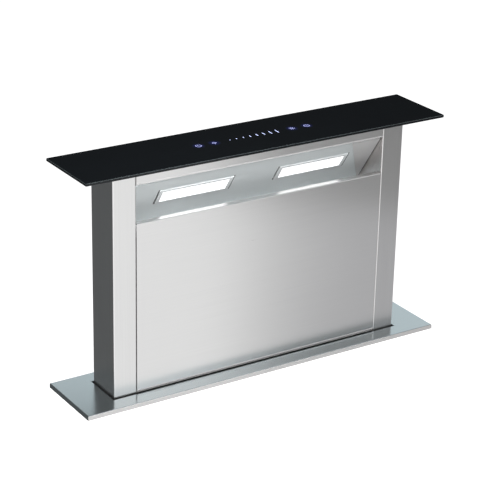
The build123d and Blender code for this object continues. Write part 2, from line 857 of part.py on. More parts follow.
with BuildPart() as lift_motor:
    with BuildSketch(Plane.XY.offset(gearbox_bottom)):
        with Locations((gearbox_x, lift_motor_y)):
            Circle(lift_motor_radius)
    extrude(amount=-lift_motor_length)
    with BuildSketch(Plane.XY.offset(gearbox_bottom - lift_motor_length)):
        with Locations((gearbox_x, lift_motor_y)):
            Circle(lift_motor_radius - lift_motor_cap_inset)
    extrude(amount=-lift_motor_cap, taper=moulding_draft)
lift_motor.part.label = "lift_motor"
export_step(lift_motor.part, "parts/lift_motor.step")

# ---------------------------------------------------------------- blower box

box_width = box_left + box_right
box_height = box_above + box_below
box_centre = ((box_right - box_left) / 2, blower_z + (box_above - box_below) / 2)
volute_top = volute_step / 2 + volute_radius + 3 * volute_step
tongue_z = -volute_step / 2 + volute_radius * math.sin(math.radians(tongue_angle))
outlet_z = blower_z + (volute_top + tongue_z) / 2
outlet_height = volute_top - tongue_z
outlet_depth = volute_depth - 2 * volute_wall
volute_mid_y = chassis_front_y - volute_depth / 2

with BuildPart() as blower_box:
    with BuildSketch(Plane.XZ.offset(-chassis_front_y)):
        with Locations(box_centre):
            Rectangle(box_width + 2 * box_flange, box_height + 2 * box_flange)
            Rectangle(box_width - 2 * sheet, box_height - 2 * sheet, mode=Mode.SUBTRACT)
    extrude(amount=sheet)
    with BuildSketch(Plane.XZ.offset(-chassis_front_y)):
        with Locations(box_centre):
            Rectangle(box_width, box_height)
            Rectangle(box_width - 2 * sheet, box_height - 2 * sheet, mode=Mode.SUBTRACT)
    extrude(amount=box_depth)
    with BuildSketch(Plane.YZ.offset(box_right)):
        with Locations((volute_mid_y, outlet_z)):
            Rectangle(outlet_depth, outlet_height)
    extrude(amount=-sheet, mode=Mode.SUBTRACT)
blower_box.part.label = "blower_box"
export_step(blower_box.part, "parts/blower_box.step")

box_front_y = chassis_front_y - box_depth
with BuildPart() as blower_box_cover:
    with BuildSketch(Plane.XZ.offset(-box_front_y - cover_skirt)):
        with Locations(box_centre):
            Rectangle(box_width + 2 * sheet, box_height + 2 * sheet)
    extrude(amount=cover_skirt + sheet)
    with BuildSketch(Plane.XZ.offset(-box_front_y - cover_skirt)):
        with Locations(box_centre):
            Rectangle(box_width, box_height)
    extrude(amount=cover_skirt, mode=Mode.SUBTRACT)
    with BuildSketch(Plane.XZ.offset(-box_front_y + sheet)):
        with Locations(box_centre):
            RectangleRounded(
                box_width - 2 * cover_field_margin,
                box_height - 2 * cover_field_margin,
                cover_field_corner,
            )
    extrude(amount=cover_field_height, taper=cover_field_slope)
    with BuildSketch(Plane.XZ.offset(-box_front_y)):
        with Locations(box_centre):
            RectangleRounded(
                box_width - 2 * cover_field_margin - 2 * sheet,
                box_height - 2 * cover_field_margin - 2 * sheet,
                cover_field_corner - sheet,
            )
    extrude(amount=cover_field_height, taper=cover_field_slope, mode=Mode.SUBTRACT)
blower_box_cover.part.label = "blower_box_cover"
export_step(blower_box_cover.part, "parts/blower_box_cover.step")

# ---------------------------------------------------------------- scroll


def volute_section(plane, grow, outlet_end):
    """Scroll outline: quarter arcs struck from the corners of a square, then the outlet."""
    half = volute_step / 2
    radii = [volute_radius + quarter * volute_step + grow for quarter in range(4)]
    right = (half + radii[0], -half)
    bottom = (-half, -half - radii[1])
    left = (-half - radii[2], half)
    top = (half, half + radii[3])
    start_angle = math.radians(tongue_angle)
    start = (half + radii[0] * math.cos(start_angle), -half + radii[0] * math.sin(start_angle))
    mid_angle = math.radians(tongue_angle / 2)
    start_mid = (half + radii[0] * math.cos(mid_angle), -half + radii[0] * math.sin(mid_angle))
    tongue_level = tongue_z - grow
    with BuildSketch(plane, mode=Mode.PRIVATE) as section:
        with BuildLine():
            ThreePointArc(start, start_mid, right)
            RadiusArc(right, bottom, radii[1])
            RadiusArc(bottom, left, radii[2])
            RadiusArc(left, top, radii[3])
            Line(top, (outlet_end, top[1]))
            Line((outlet_end, top[1]), (outlet_end, tongue_level))
            Line((outlet_end, tongue_level), start)
        make_face()
    return section.sketch


def blower_plane(y):
    """Plane square to the wheel's axis at y: local x is +X, local y is +Z."""
    return Plane(origin=(0, y, blower_z), x_dir=(1, 0, 0), z_dir=(0, -1, 0))


scroll_end = box_right - sheet
plate_front_y = chassis_front_y - inlet_plate
volute_front_y = chassis_front_y - volute_depth

with BuildPart() as scroll_housing:
    extrude(
        volute_section(blower_plane(plate_front_y), volute_wall, scroll_end),
        amount=volute_depth - inlet_plate,
    )
    extrude(
        volute_section(blower_plane(plate_front_y), 0, scroll_end + volute_wall),
        amount=volute_depth - inlet_plate - volute_wall,
        mode=Mode.SUBTRACT,
    )
    with BuildSketch(blower_plane(volute_front_y)):
        Circle(motor_radius + motor_hole_clearance)
    extrude(amount=-volute_wall, mode=Mode.SUBTRACT)
scroll_housing.part.label = "scroll_housing"
export_step(scroll_housing.part, "parts/scroll_housing.step")

# The inlet plate closes the scroll towards the chassis; its bell mouth curves into the
# wheel's eye.
bell_end = bell_curve + bell_reach
bell_plane = Plane(origin=(0, chassis_front_y, blower_z), x_dir=(1, 0, 0), z_dir=(0, 0, 1))
with BuildPart() as inlet_ring:
    extrude(volute_section(blower_plane(chassis_front_y), volute_wall, scroll_end), amount=inlet_plate)
    with BuildSketch(blower_plane(chassis_front_y)):
        Circle(inlet_radius)
    extrude(amount=inlet_plate, mode=Mode.SUBTRACT)
    with BuildSketch(bell_plane):
        with BuildLine():
            Line((inlet_radius, 0), (inlet_radius + sheet, 0))
            Line((inlet_radius + sheet, 0), (inlet_radius + sheet, -sheet))
            TangentArc(
                (throat_radius + sheet, -bell_curve),
                (inlet_radius + sheet, -sheet),
                tangent=(0, 1),
            )
            Line((throat_radius + sheet, -bell_curve), (throat_radius + sheet, -bell_end))
            Line((throat_radius + sheet, -bell_end), (throat_radius, -bell_end))
            Line((throat_radius, -bell_end), (throat_radius, -bell_curve))
            TangentArc((throat_radius, -bell_curve), (inlet_radius, 0), tangent=(0, 1))
        make_face()
    revolve(axis=Axis((0, 0, blower_z), (0, 1, 0)))
inlet_ring.part.label = "inlet_ring"
export_step(inlet_ring.part, "parts/inlet_ring.step")

# ---------------------------------------------------------------- wheel and motor

wheel_back_y = chassis_front_y - wheel_inset
wheel_front_y = wheel_back_y - wheel_width


def blade_section():
    """One forward-curved blade, from the eye out to the rim."""
    lean = math.radians(blade_lean)
    inner = (eye_radius + blade_thickness, 0)
    outer = (
        (wheel_radius - blade_thickness / 2) * math.cos(lean),
        (wheel_radius - blade_thickness / 2) * math.sin(lean),
    )
    middle = ((inner[0] + outer[0]) / 2 + blade_bow / 2, (inner[1] + outer[1]) / 2 - blade_bow)
    with BuildSketch(mode=Mode.PRIVATE) as section:
        with BuildLine():
            ThreePointArc(inner, middle, outer)
        trace(line_width=blade_thickness)
    return section.sketch


with BuildPart() as impeller:
    with BuildSketch(blower_plane(wheel_back_y)):
        Circle(wheel_radius)
        Circle(eye_radius, mode=Mode.SUBTRACT)
    extrude(amount=wheel_disc)
    blade = blade_section()
    with BuildSketch(blower_plane(wheel_back_y)):
        with PolarLocations(0, blade_count):
            add(blade)
    extrude(amount=wheel_width)
    with BuildSketch(blower_plane(wheel_front_y)):
        Circle(wheel_radius)
        Circle(motor_radius + 2 * motor_hole_clearance, mode=Mode.SUBTRACT)
    extrude(amount=-wheel_disc)
    with BuildSketch(blower_plane(wheel_front_y + wheel_disc)):
        Circle(motor_radius + 2 * motor_hole_clearance + wheel_disc)
        Circle(motor_radius + 2 * motor_hole_clearance, mode=Mode.SUBTRACT)
    extrude(amount=-motor_reach_in / 2)
    cup_y = wheel_front_y + wheel_disc + motor_reach_in / 2
    with BuildSketch(blower_plane(cup_y)):
        Circle(motor_radius + 2 * motor_hole_clearance + wheel_disc)
    extrude(amount=-wheel_disc)
    with BuildSketch(blower_plane(cup_y + wheel_disc)):
        Circle(hub_radius)
    extrude(amount=-hub_length)
    with BuildSketch(blower_plane(cup_y + wheel_disc + hub_length)):
        Circle(motor_shaft_radius + shaft_fit)
    extrude(amount=hub_length + 2 * wheel_disc, mode=Mode.SUBTRACT)
impeller.part.label = "impeller"
export_step(impeller.part, "parts/impeller.step")

motor_nose_y = cup_y - motor_hole_clearance
motor_tail_y = volute_front_y - motor_tail
motor_length = motor_nose_y - motor_tail_y
with BuildPart() as blower_motor:
    with BuildSketch(blower_plane(motor_nose_y)):
        Circle(motor_radius)
    extrude(amount=motor_length)
    chamfer(blower_motor.edges().filter_by(GeomType.CIRCLE), length=motor_flange)
    with BuildSketch(blower_plane(volute_front_y)):
        Circle(motor_flange_radius)
    extrude(amount=motor_flange)
    with BuildSketch(blower_plane(motor_nose_y)):
        Circle(motor_shaft_radius + running_clearance)
    extrude(amount=motor_length, mode=Mode.SUBTRACT)
blower_motor.part.label = "blower_motor"
export_step(blower_motor.part, "parts/blower_motor.step")

with BuildPart() as motor_shaft:
    with BuildSketch(blower_plane(cup_y + wheel_disc + hub_length)):
        Circle(motor_shaft_radius)
    extrude(amount=cup_y + wheel_disc + hub_length - motor_tail_y)
motor_shaft.part.label = "motor_shaft"
export_step(motor_shaft.part, "parts/motor_shaft.step")

# ---------------------------------------------------------------- outlet spigot and flaps

pivot_x = box_right + pivot_offset
flap_radius = spigot_radius - spigot_wall - flap_gap


def spigot_plane(x):
    """Plane square to the outlet at x: local x is +Y, local y is +Z."""
    return Plane(origin=(x, volute_mid_y, outlet_z), x_dir=(0, 1, 0), z_dir=(1, 0, 0))


def pivot_plane(z):
    """Plane square to the flaps' rod, at z above the outlet's centre."""
    return Plane(origin=(pivot_x, volute_mid_y, outlet_z + z), x_dir=(1, 0, 0), z_dir=(0, 0, 1))


with BuildPart() as outlet_spigot:
    with BuildSketch(spigot_plane(box_right)):
        RectangleRounded(spigot_plate_size, spigot_plate_size, 2 * bend)
        Circle(spigot_radius - spigot_wall, mode=Mode.SUBTRACT)
    extrude(amount=spigot_plate)
    with BuildSketch(spigot_plane(box_right)):
        Circle(spigot_radius)
        Circle(spigot_radius - spigot_wall, mode=Mode.SUBTRACT)
    extrude(amount=spigot_length)
    for bead_x in (box_right + spigot_length - spigot_bead_place, box_right + spigot_length / 2):
        with BuildSketch(spigot_plane(bead_x)):
            Circle(spigot_radius)
            Circle(spigot_radius - spigot_bead, mode=Mode.SUBTRACT)
        extrude(amount=-spigot_bead_width, mode=Mode.SUBTRACT)
    with BuildSketch(pivot_plane(0)):
        Circle(pivot_radius)
    extrude(amount=spigot_radius - spigot_wall / 2, both=True)
outlet_spigot.part.label = "outlet_spigot"
export_step(outlet_spigot.part, "parts/outlet_spigot.step")

# Two half-disc flaps share the upright rod, with their knuckles turn and turn about.
for flap_name, side, first_knuckle in (("front", -1, 0), ("rear", 1, 1)):
    with BuildPart() as damper_flap:
        with BuildSketch(spigot_plane(pivot_x - flap_thickness / 2)):
            Circle(flap_radius)
            with Locations((side * (flap_root - flap_radius), 0)):
                Rectangle(2 * flap_radius, 2 * flap_radius, mode=Mode.SUBTRACT)
        extrude(amount=flap_thickness)
        for knuckle in (first_knuckle, first_knuckle + 2):
            knuckle_low = (knuckle - 2) * (knuckle_length + knuckle_gap) + knuckle_gap / 2
            with BuildSketch(pivot_plane(knuckle_low)):
                Circle(knuckle_radius)
                with Locations((0, side * flap_root / 2)):
                    Rectangle(flap_thickness, flap_root + flap_thickness)
                Circle(pivot_radius + pivot_clearance, mode=Mode.SUBTRACT)
            extrude(amount=knuckle_length)
    damper_flap.part.label = f"damper_flap_{flap_name}"
    export_step(damper_flap.part, f"parts/damper_flap_{flap_name}.step")

# ---------------------------------------------------------------- control box

control_centre = (control_centre_x, control_top - control_height / 2)
control_front_y = chassis_front_y - control_depth
control_left = control_centre_x - control_width / 2


def gland_plane(out):
    """Plane on the control box's left wall, out millimetres clear of it: local y is +Z."""
    origin = (control_left - out, chassis_front_y - control_depth / 2, control_centre[1])
    return Plane(origin=origin, x_dir=(0, -1, 0), z_dir=(-1, 0, 0))


with BuildPart() as control_box:
    with BuildSketch(Plane.XZ.offset(-chassis_front_y)):
        with Locations(control_centre):
            RectangleRounded(control_width, control_height, 2 * bend)
    extrude(amount=control_depth)
    offset(amount=-sheet, openings=control_box.faces().sort_by(Axis.Y)[0])
    with BuildSketch(Plane.XZ.offset(-chassis_front_y)):
        with Locations(control_centre):
            with GridLocations(
                control_width - 4 * control_board_margin,
                control_height - 4 * control_board_margin,
                2,
                2,
            ):
                Circle(control_board_standoff / 2)
    extrude(amount=control_board_standoff)
    with BuildSketch(gland_plane(0)):
        with GridLocations(0, gland_spacing, 1, 2):
            Circle(gland_thread + gland_thread_clearance)
    extrude(amount=-2 * sheet, mode=Mode.SUBTRACT)
control_box.part.label = "control_box"
export_step(control_box.part, "parts/control_box.step")

with BuildPart() as control_box_lid:
    with BuildSketch(Plane.XZ.offset(-control_front_y)):
        with Locations(control_centre):
            RectangleRounded(control_width, control_height, 2 * bend)
    extrude(amount=2 * sheet)
    chamfer(control_box_lid.edges().group_by(Axis.Y)[0], length=sheet)
control_box_lid.part.label = "control_box_lid"
export_step(control_box_lid.part, "parts/control_box_lid.step")

# Two cable glands: hexagon and dome outside the wall, thread and nut inside.
with BuildPart() as cable_glands:
    with BuildSketch(gland_plane(0)):
        with GridLocations(0, gland_spacing, 1, 2):
            RegularPolygon(gland_hexagon, 6)
    extrude(amount=gland_hexagon_height)
    with BuildSketch(gland_plane(gland_hexagon_height)):
        with GridLocations(0, gland_spacing, 1, 2):
            Circle(gland_dome)
    extrude(amount=gland_length - gland_hexagon_height, taper=moulding_draft)
    with BuildSketch(gland_plane(0)):
        with GridLocations(0, gland_spacing, 1, 2):
            Circle(gland_thread)
    extrude(amount=-sheet - gland_tail)
    with BuildSketch(gland_plane(-sheet)):
        with GridLocations(0, gland_spacing, 1, 2):
            RegularPolygon(gland_hexagon, 6)
    extrude(amount=-gland_nut)
    with BuildSketch(gland_plane(gland_length)):
        with GridLocations(0, gland_spacing, 1, 2):
            Circle(gland_bore)
    extrude(amount=-gland_length - sheet - gland_tail, mode=Mode.SUBTRACT)
cable_glands.part.label = "cable_glands"
export_step(cable_glands.part, "parts/cable_glands.step")

board_y = chassis_front_y - control_board_standoff
with BuildPart() as control_board:
    with BuildSketch(Plane.XZ.offset(-board_y)):
        with Locations(control_centre):
            Rectangle(control_width - 2 * control_board_margin, control_height - 2 * control_board_margin)
    extrude(amount=board_thickness)
    with BuildSketch(Plane.XZ.offset(-board_y + board_thickness)):
        with Locations(control_centre):
            with GridLocations(chip_column_pitch, chip_row_pitch, 2, 2):
                Rectangle(chip_length, chip_width)
    extrude(amount=chip_height)
control_board.part.label = "control_board"
export_step(control_board.part, "parts/control_board.step")

# ---------------------------------------------------------------- screws

with BuildPart() as chassis_screws:
    with BuildSketch(Plane.XZ.offset(-chassis_front_y + sheet)):
        with Locations(box_centre):
            with GridLocations(box_width + box_flange, box_height - 2 * box_screw_inset, 2, 2):
                RegularPolygon(screw_head_radius, 6)
            with GridLocations(box_width / 2, box_height + box_flange, 2, 2):
                RegularPolygon(screw_head_radius, 6)
    extrude(amount=screw_head)
    with BuildSketch(Plane.XZ.offset(-control_front_y + 2 * sheet)):
        with Locations(control_centre):
            with GridLocations(
                control_width - 2 * control_board_margin,
                control_height - 2 * control_board_margin,
                2,
                2,
            ):
                RegularPolygon(screw_head_radius, 6)
    extrude(amount=screw_head)
    with BuildSketch(Plane.XZ.offset(-chassis_front_y + foot_thickness)):
        with Locations((0, chassis_bottom + foot_height / 2)):
            for side in (-1, 1):
                with Locations((side * foot_x, 0)):
                    with GridLocations(foot_width / 2, 0, 2, 1):
                        RegularPolygon(screw_head_radius, 6)
    extrude(amount=screw_head)
    for wall_y, outward in ((chassis_front_y, 1), (chassis_back_y, -1)):
        with BuildSketch(Plane.XZ.offset(-wall_y)):
            with Locations((0, bead_centre_z)):
                with GridLocations(
                    chassis_width - side_flange, wall_screw_spacing, 2, wall_screw_rows
                ):
                    RegularPolygon(screw_head_radius, 6)
        extrude(amount=outward * screw_head)
chassis_screws.part.label = "chassis_screws"
export_step(chassis_screws.part, "parts/chassis_screws.step")

with BuildPart() as hood_screws:
    for side in (-1, 1):
        with BuildSketch(Plane.YZ.offset(side * (side_x + carriage_thickness))):
            with Locations(((rail_y + lift_y) / 2, (carriage_bottom + carriage_top) / 2)):
                with GridLocations(0, carriage_height / 2, 1, 2):
                    with Locations((rail_slot / 2 + screw_head, 0)):
                        RegularPolygon(screw_head_radius, 6)
        extrude(amount=side * screw_head)
hood_screws.part.label = "hood_screws"
export_step(hood_screws.part, "parts/hood_screws.step")

print("shaft_z", shaft_z, "blower_z", blower_z, "outlet_z", round(outlet_z, 2))
print("chassis_bottom", chassis_bottom, "lift_travel", lift_travel)
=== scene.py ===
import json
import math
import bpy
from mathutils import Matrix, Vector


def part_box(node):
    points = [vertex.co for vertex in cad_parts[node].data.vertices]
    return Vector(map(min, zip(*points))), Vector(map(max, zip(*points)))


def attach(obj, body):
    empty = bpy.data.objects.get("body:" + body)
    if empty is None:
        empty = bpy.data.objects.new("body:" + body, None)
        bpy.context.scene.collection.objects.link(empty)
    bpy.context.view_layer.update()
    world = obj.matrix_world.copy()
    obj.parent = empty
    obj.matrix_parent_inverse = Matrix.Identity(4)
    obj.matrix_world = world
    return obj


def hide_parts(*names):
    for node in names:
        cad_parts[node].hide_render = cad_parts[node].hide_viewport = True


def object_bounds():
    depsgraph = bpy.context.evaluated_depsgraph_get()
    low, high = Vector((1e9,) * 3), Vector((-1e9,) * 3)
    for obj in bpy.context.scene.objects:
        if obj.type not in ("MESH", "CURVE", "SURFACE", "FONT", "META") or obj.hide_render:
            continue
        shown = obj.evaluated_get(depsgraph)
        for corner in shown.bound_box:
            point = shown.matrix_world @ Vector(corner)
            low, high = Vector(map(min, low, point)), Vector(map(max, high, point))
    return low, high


bl_info = {
    "name": "Worktop downdraft vent",
    "version": (1, 0, 0),
    "blender": (4, 5, 0),
    "location": "3D View > Sidebar > Downdraft",
    "description": "Finishes, printed keys, fasteners and studio for the rising downdraft vent",
    "category": "Object",
}

import bmesh
import bpy
from bpy.props import FloatProperty, FloatVectorProperty, IntProperty, PointerProperty
from bpy.types import Operator, Panel, PropertyGroup
from mathutils import Matrix, Vector

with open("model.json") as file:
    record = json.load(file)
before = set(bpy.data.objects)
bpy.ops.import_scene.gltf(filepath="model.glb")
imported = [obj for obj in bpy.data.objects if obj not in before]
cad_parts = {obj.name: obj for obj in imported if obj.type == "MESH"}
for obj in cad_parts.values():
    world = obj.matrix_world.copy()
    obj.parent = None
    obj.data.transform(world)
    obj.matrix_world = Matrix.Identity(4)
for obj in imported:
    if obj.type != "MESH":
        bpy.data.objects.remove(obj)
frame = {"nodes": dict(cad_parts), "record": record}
CAD_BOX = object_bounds()
MM = 0.001
WHITE = (1, 1, 1, 1)
BLACK = (0, 0, 0, 1)


# ---------------------------------------------------------------- settings


def colour(name, description, default):
    """A colour property."""
    return FloatVectorProperty(
        name=name, description=description, subtype="COLOR", size=3, min=0, max=1, default=default
    )


def length(name, description, millimetres):
    """A length property, given in millimetres and kept in metres."""
    return FloatProperty(
        name=name, description=description, unit="LENGTH", precision=5, default=millimetres * MM
    )


def level(name, description, default):
    """A brightness property."""
    return FloatProperty(name=name, description=description, min=0, default=default)


def turn(name, description, degrees):
    """An angle property, given in degrees."""
    return FloatProperty(
        name=name, description=description, subtype="ANGLE", default=math.radians(degrees)
    )


class KeySettings(PropertyGroup):
    """The signs printed on the glass."""

    sign_radius: length("Sign radius", "Half the width of a touch key's sign", 4.6)
    sign_line: length("Line width", "Width of a sign's lines", 1.0)
    halo_radius: length("Halo radius", "Radius of the blue glow round a sign", 10.6)
    ink: length("Ink thickness", "Height of the print over the glass", 0.04)
    outer_place: length("Outer keys", "Distance of the outer keys from the middle", 91)
    inner_place: length("Inner keys", "Distance of the inner keys from the middle", 65.4)
    tick_count: IntProperty(name="Ticks", description="Marks on the slider", min=2, default=8)
    tick_pitch: length("Tick pitch", "Distance between slider marks", 11.3)
    tick_width: length("Tick width", "Width of a slider mark", 1.15)
    tick_longest: length("Longest tick", "Length of the last slider mark", 11.5)
    glow: colour("Key glow", "Colour of the lit keys", (0.25, 0.27, 0.50))
    halo: colour("Halo", "Colour of the glow round the keys", (0.004, 0.006, 0.050))
    tick_glow: colour("Slider glow", "Colour of the lit slider", (0.55, 0.62, 0.95))
    glow_level: level("Key level", "Brightness of the lit keys", 1.0)
    tick_level: level("Slider level", "Brightness of the lit slider", 0.8)


class FinishSettings(PropertyGroup):
    """Colours of the surfaces, and the width of the narrow ones."""

    glass: colour("Glass", "Black of the glass top", (0.004, 0.005, 0.006))
    # Partly the ground bevels' own frost, partly a painted highlight along the glass top's edges.
    bevel: colour("Bevel", "Ground bevels of the glass top", (0.031, 0.037, 0.039))
    bevel_width: length("Bevel width", "Width of the ground bevels", 0.62)
    steel: colour("Steel", "Brushed steel of the chimney", (0.94, 0.94, 0.935))
    # Painted shade on the columns' cheeks inside the intake.
    cheek: colour("Cheek tint", "Tint of the columns inside the intake", (0.94, 0.90, 0.89))
    # Painted highlight along the hems at the feet of the front panel and the head rail.
    hem_highlight: colour("Hem", "Hems of the front panel and the head rail", (0.66, 0.66, 0.66))
    hem_width: length("Hem width", "Width of the hems", 2.7)
    flange: colour("Flange", "Brushed steel of the worktop flange", (0.71, 0.77, 0.79))
    # Partly the cut edges' own duller finish, partly a painted highlight.
    cut_edge_highlight: colour("Cut edge", "Long cut edges of the flange", (0.48, 0.475, 0.47))
    satin: colour("Satin steel", "Satin sheet round the lamps", (0.78, 0.83, 0.84))
    # Painted shadow along the satin sheet's right end, where it meets the cheek.
    seam: colour("Seam", "Seam at the satin sheet's right end", (0.10, 0.10, 0.10))
    # Painted shadows in the gaps at the lamps' ends.
    slit_shadow: colour("Slit", "Slits at the lamps' ends", (0.05, 0.05, 0.05))
    galvanised: colour("Galvanised sheet", "Zinc coat of the chassis sheets", (0.50, 0.52, 0.53))
    zinc: colour("Zinc plate", "Zinc of rails, brackets and screws", (0.60, 0.60, 0.58))
    light: colour("Lamp light", "Colour of the lit lenses", (1.0, 1.0, 1.0))
    light_level: level("Lamp level", "Brightness of the lenses", 1.05)


class StageSettings(PropertyGroup):
    """Camera, worktop and light."""

    azimuth: turn("Azimuth", "Camera's turn from the front, to the right", -33.24)
    elevation: turn("Elevation", "Camera's height as an angle", 22.59)
    roll: turn("Roll", "Camera's tilt about its line of sight", 1.35)
    target: FloatVectorProperty(
        name="Target",
        description="Point in the middle of the picture",
        subtype="XYZ",
        default=(0.0334, 0.0532, 0.1463),
    )
    distance: length("Distance", "Camera's distance from the target", 2618.9)
    lens: FloatProperty(name="Lens", description="Focal length in millimetres", default=126.3)
    slab: length("Worktop", "Thickness of the worktop slab", 24)
    cut_gap: length("Cut-out gap", "Gap between the chassis and the cut-out", 3)
    world_level: level("Room light", "Brightness of the soft light from all round", 0.62)
    ground_base: level("Ground", "Grey of the floor and the worktop", 0.5)
    ground_glow: level("Ground glow", "Light that the ground adds for the camera", 0.72)


# ---------------------------------------------------------------- shader building


def add_node(tree, kind, inputs=None, **settings):
    """Add a node: inputs maps a socket to a value, or to the socket that feeds it."""
    made = tree.nodes.new(kind)
    for key, value in settings.items():
        setattr(made, key, value)
    for key, value in (inputs or {}).items():
        set_socket(tree, made.inputs[key], value)
    return made


def set_socket(tree, socket, value):
    """Set a socket to a value, or link it to the socket that feeds it."""
    if isinstance(value, bpy.types.NodeSocket):
        tree.links.new(value, socket)
    else:
        socket.default_value = value


def start_finish(name, base, metallic, roughness, **sockets):
    """A material with its main shader, the same all over until a pattern is fed in."""
    material = bpy.data.materials.new(name)
    material.use_nodes = True
    tree = material.node_tree
    shader = tree.nodes["Principled BSDF"]
    shader.inputs["Base Color"].default_value = (*base, 1)
    shader.inputs["Metallic"].default_value = metallic
    shader.inputs["Roughness"].default_value = roughness
    for key, value in sockets.items():
        shader.inputs[key.replace("_", " ")].default_value = value
    return material, tree, shader


def object_place(tree):
    """Object coordinates."""
    return add_node(tree, "ShaderNodeTexCoord").outputs["Object"]


def stretched_place(tree, scale=(1, 1, 1)):
    """Object coordinates, multiplied by scale per axis."""
    stretched = add_node(
        tree, "ShaderNodeMapping", {"Vector": object_place(tree), "Scale": scale}
    )
    return stretched.outputs["Vector"]


def signed_axes(tree):
    """Places along X, Y and Z, as outputs with those names."""
    return add_node(tree, "ShaderNodeSeparateXYZ", {"Vector": object_place(tree)}).outputs


def axis_reach(tree):
    """Distances from the middle along X, Y and Z, as outputs with those names."""
    size = add_node(tree, "ShaderNodeVectorMath", {0: object_place(tree)}, operation="ABSOLUTE")
    return add_node(tree, "ShaderNodeSeparateXYZ", {"Vector": size.outputs["Vector"]}).outputs


def calculated(tree, operation, *values):
    """Math node on up to three values."""
    made = add_node(tree, "ShaderNodeMath", dict(enumerate(values)), operation=operation)
    return made.outputs["Value"]


def is_over(tree, value, limit):
    """1 where value is over limit, otherwise 0."""
    return calculated(tree, "GREATER_THAN", value, limit)


def is_near(tree, value, middle, margin):
    """1 where value is within margin of middle, otherwise 0."""
    return calculated(tree, "COMPARE", value, middle, margin)


def spread(tree, value, low, high, start=0.0, end=1.0, **settings):
    """Map a value from start to end on to low to high."""
    ranged = add_node(
        tree,
        "ShaderNodeMapRange",
        {"Value": value, "From Min": start, "From Max": end, "To Min": low, "To Max": high},
        **settings,
    )
    return ranged.outputs["Result"]


def noise(tree, scale, detail=3.0, roughness=0.55):
    """Smooth noise, scale features per metre on each axis."""
    made = add_node(
        tree,
        "ShaderNodeTexNoise",
        {
            "Vector": stretched_place(tree, scale),
            "Scale": 1.0,
            "Detail": detail,
            "Roughness": roughness,
        },
    )
    return made.outputs["Fac"]


def even_noise(tree, per_metre, detail=3.0):
    """Smooth noise with the same number of features per metre on every axis."""
    return noise(tree, (per_metre, per_metre, per_metre), detail)


def mix_colours(tree, factor, first, second, blend="MIX"):
    """Colour mix: factor is a value or a socket, first and second are colours or sockets."""
    mixed = add_node(tree, "ShaderNodeMix", data_type="RGBA", blend_type=blend)
    factor_place, first_place, second_place, result_place = 0, 6, 7, 2
    set_socket(tree, mixed.inputs[factor_place], factor)
    set_socket(tree, mixed.inputs[first_place], first)
    set_socket(tree, mixed.inputs[second_place], second)
    return mixed.outputs[result_place]


def grey(tree, value):
    """Grey of a value that varies."""
    made = add_node(tree, "ShaderNodeCombineColor", {"Red": value, "Green": value, "Blue": value})
    return made.outputs["Color"]


def shaded(tree, base, pattern, darkest):
    """Base colour made darker by a pattern, down to the share darkest."""
    dimmed = grey(tree, spread(tree, pattern, darkest, 1.0))
    return mix_colours(tree, 1.0, (*base, 1), dimmed, "MULTIPLY")


def bump(tree, shader, height, distance, strength=1.0):
    """Raise a pattern from the surface by distance metres."""
    raised = add_node(
        tree, "ShaderNodeBump", {"Height": height, "Distance": distance, "Strength": strength}
    )
    tree.links.new(raised.outputs["Normal"], shader.inputs["Normal"])


def vary_roughness(tree, shader, pattern, middle, swing, end=1.0):
    """Let a pattern from 0 to end move the roughness by up to swing about its middle."""
    rough = spread(tree, pattern, middle - swing, middle + swing, end=end)
    tree.links.new(rough, shader.inputs["Roughness"])


# ---------------------------------------------------------------- finishes


def brushed_steel(name, base, grain, roughness, darkest=0.90, **sockets):
    """Brushed sheet: grain is the number of scratches per metre along each axis.

    The streaked colour comes back too, for the caller to feed to the shader.
    """
    material, tree, shader = start_finish(name, base, 1.0, roughness, **sockets)
    scratches = noise(tree, grain, detail=5.0, roughness=0.7)
    clouds = even_noise(tree, 7, detail=2.0)
    wear = calculated(tree, "ADD", scratches, clouds)
    vary_roughness(tree, shader, wear, roughness, 0.07, end=2.0)
    bump(tree, shader, scratches, 0.02 * MM, 0.5)
    return material, tree, shader, shaded(tree, base, scratches, darkest)


def paint_highlight(tree, shader, mask, before, shade, metallic):
    """Paint a highlight on the masked part of a sheet, such as its hems or its cut edges: its own
    pale shade and less mirror, which the lamps light.
    """
    tree.links.new(mix_colours(tree, mask, before, (*shade, 1)), shader.inputs["Base Color"])
    tree.links.new(spread(tree, mask, 1.0, metallic), shader.inputs["Metallic"])


def panel_steel(settings):
    """Steel brushed from side to side, with painted highlights on the hems at the feet of its
    front sheets.
    """
    material, tree, shader, streaked = brushed_steel(
        "brushed_steel_finish", settings.steel, (6, 6, 1400), 0.30, Anisotropic=0.55
    )
    tangent = add_node(tree, "ShaderNodeTangent", direction_type="RADIAL", axis="Z")
    tree.links.new(tangent.outputs["Tangent"], shader.inputs["Tangent"])
    height = axis_reach(tree)["Z"]
    hems = [
        is_near(tree, height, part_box(node)[0][2], settings.hem_width)
        for node in ("front_panel", "head_rail")
    ]
    hem_highlight = calculated(tree, "MAXIMUM", *hems)
    behind = is_over(tree, signed_axes(tree)["Y"], 0.0)
    front_hem_highlight = calculated(tree, "GREATER_THAN", hem_highlight, behind)
    # Painted highlight on the front hems: a pale shade and less mirror.
    paint_highlight(tree, shader, front_hem_highlight, streaked, settings.hem_highlight, 0.35)
    return material


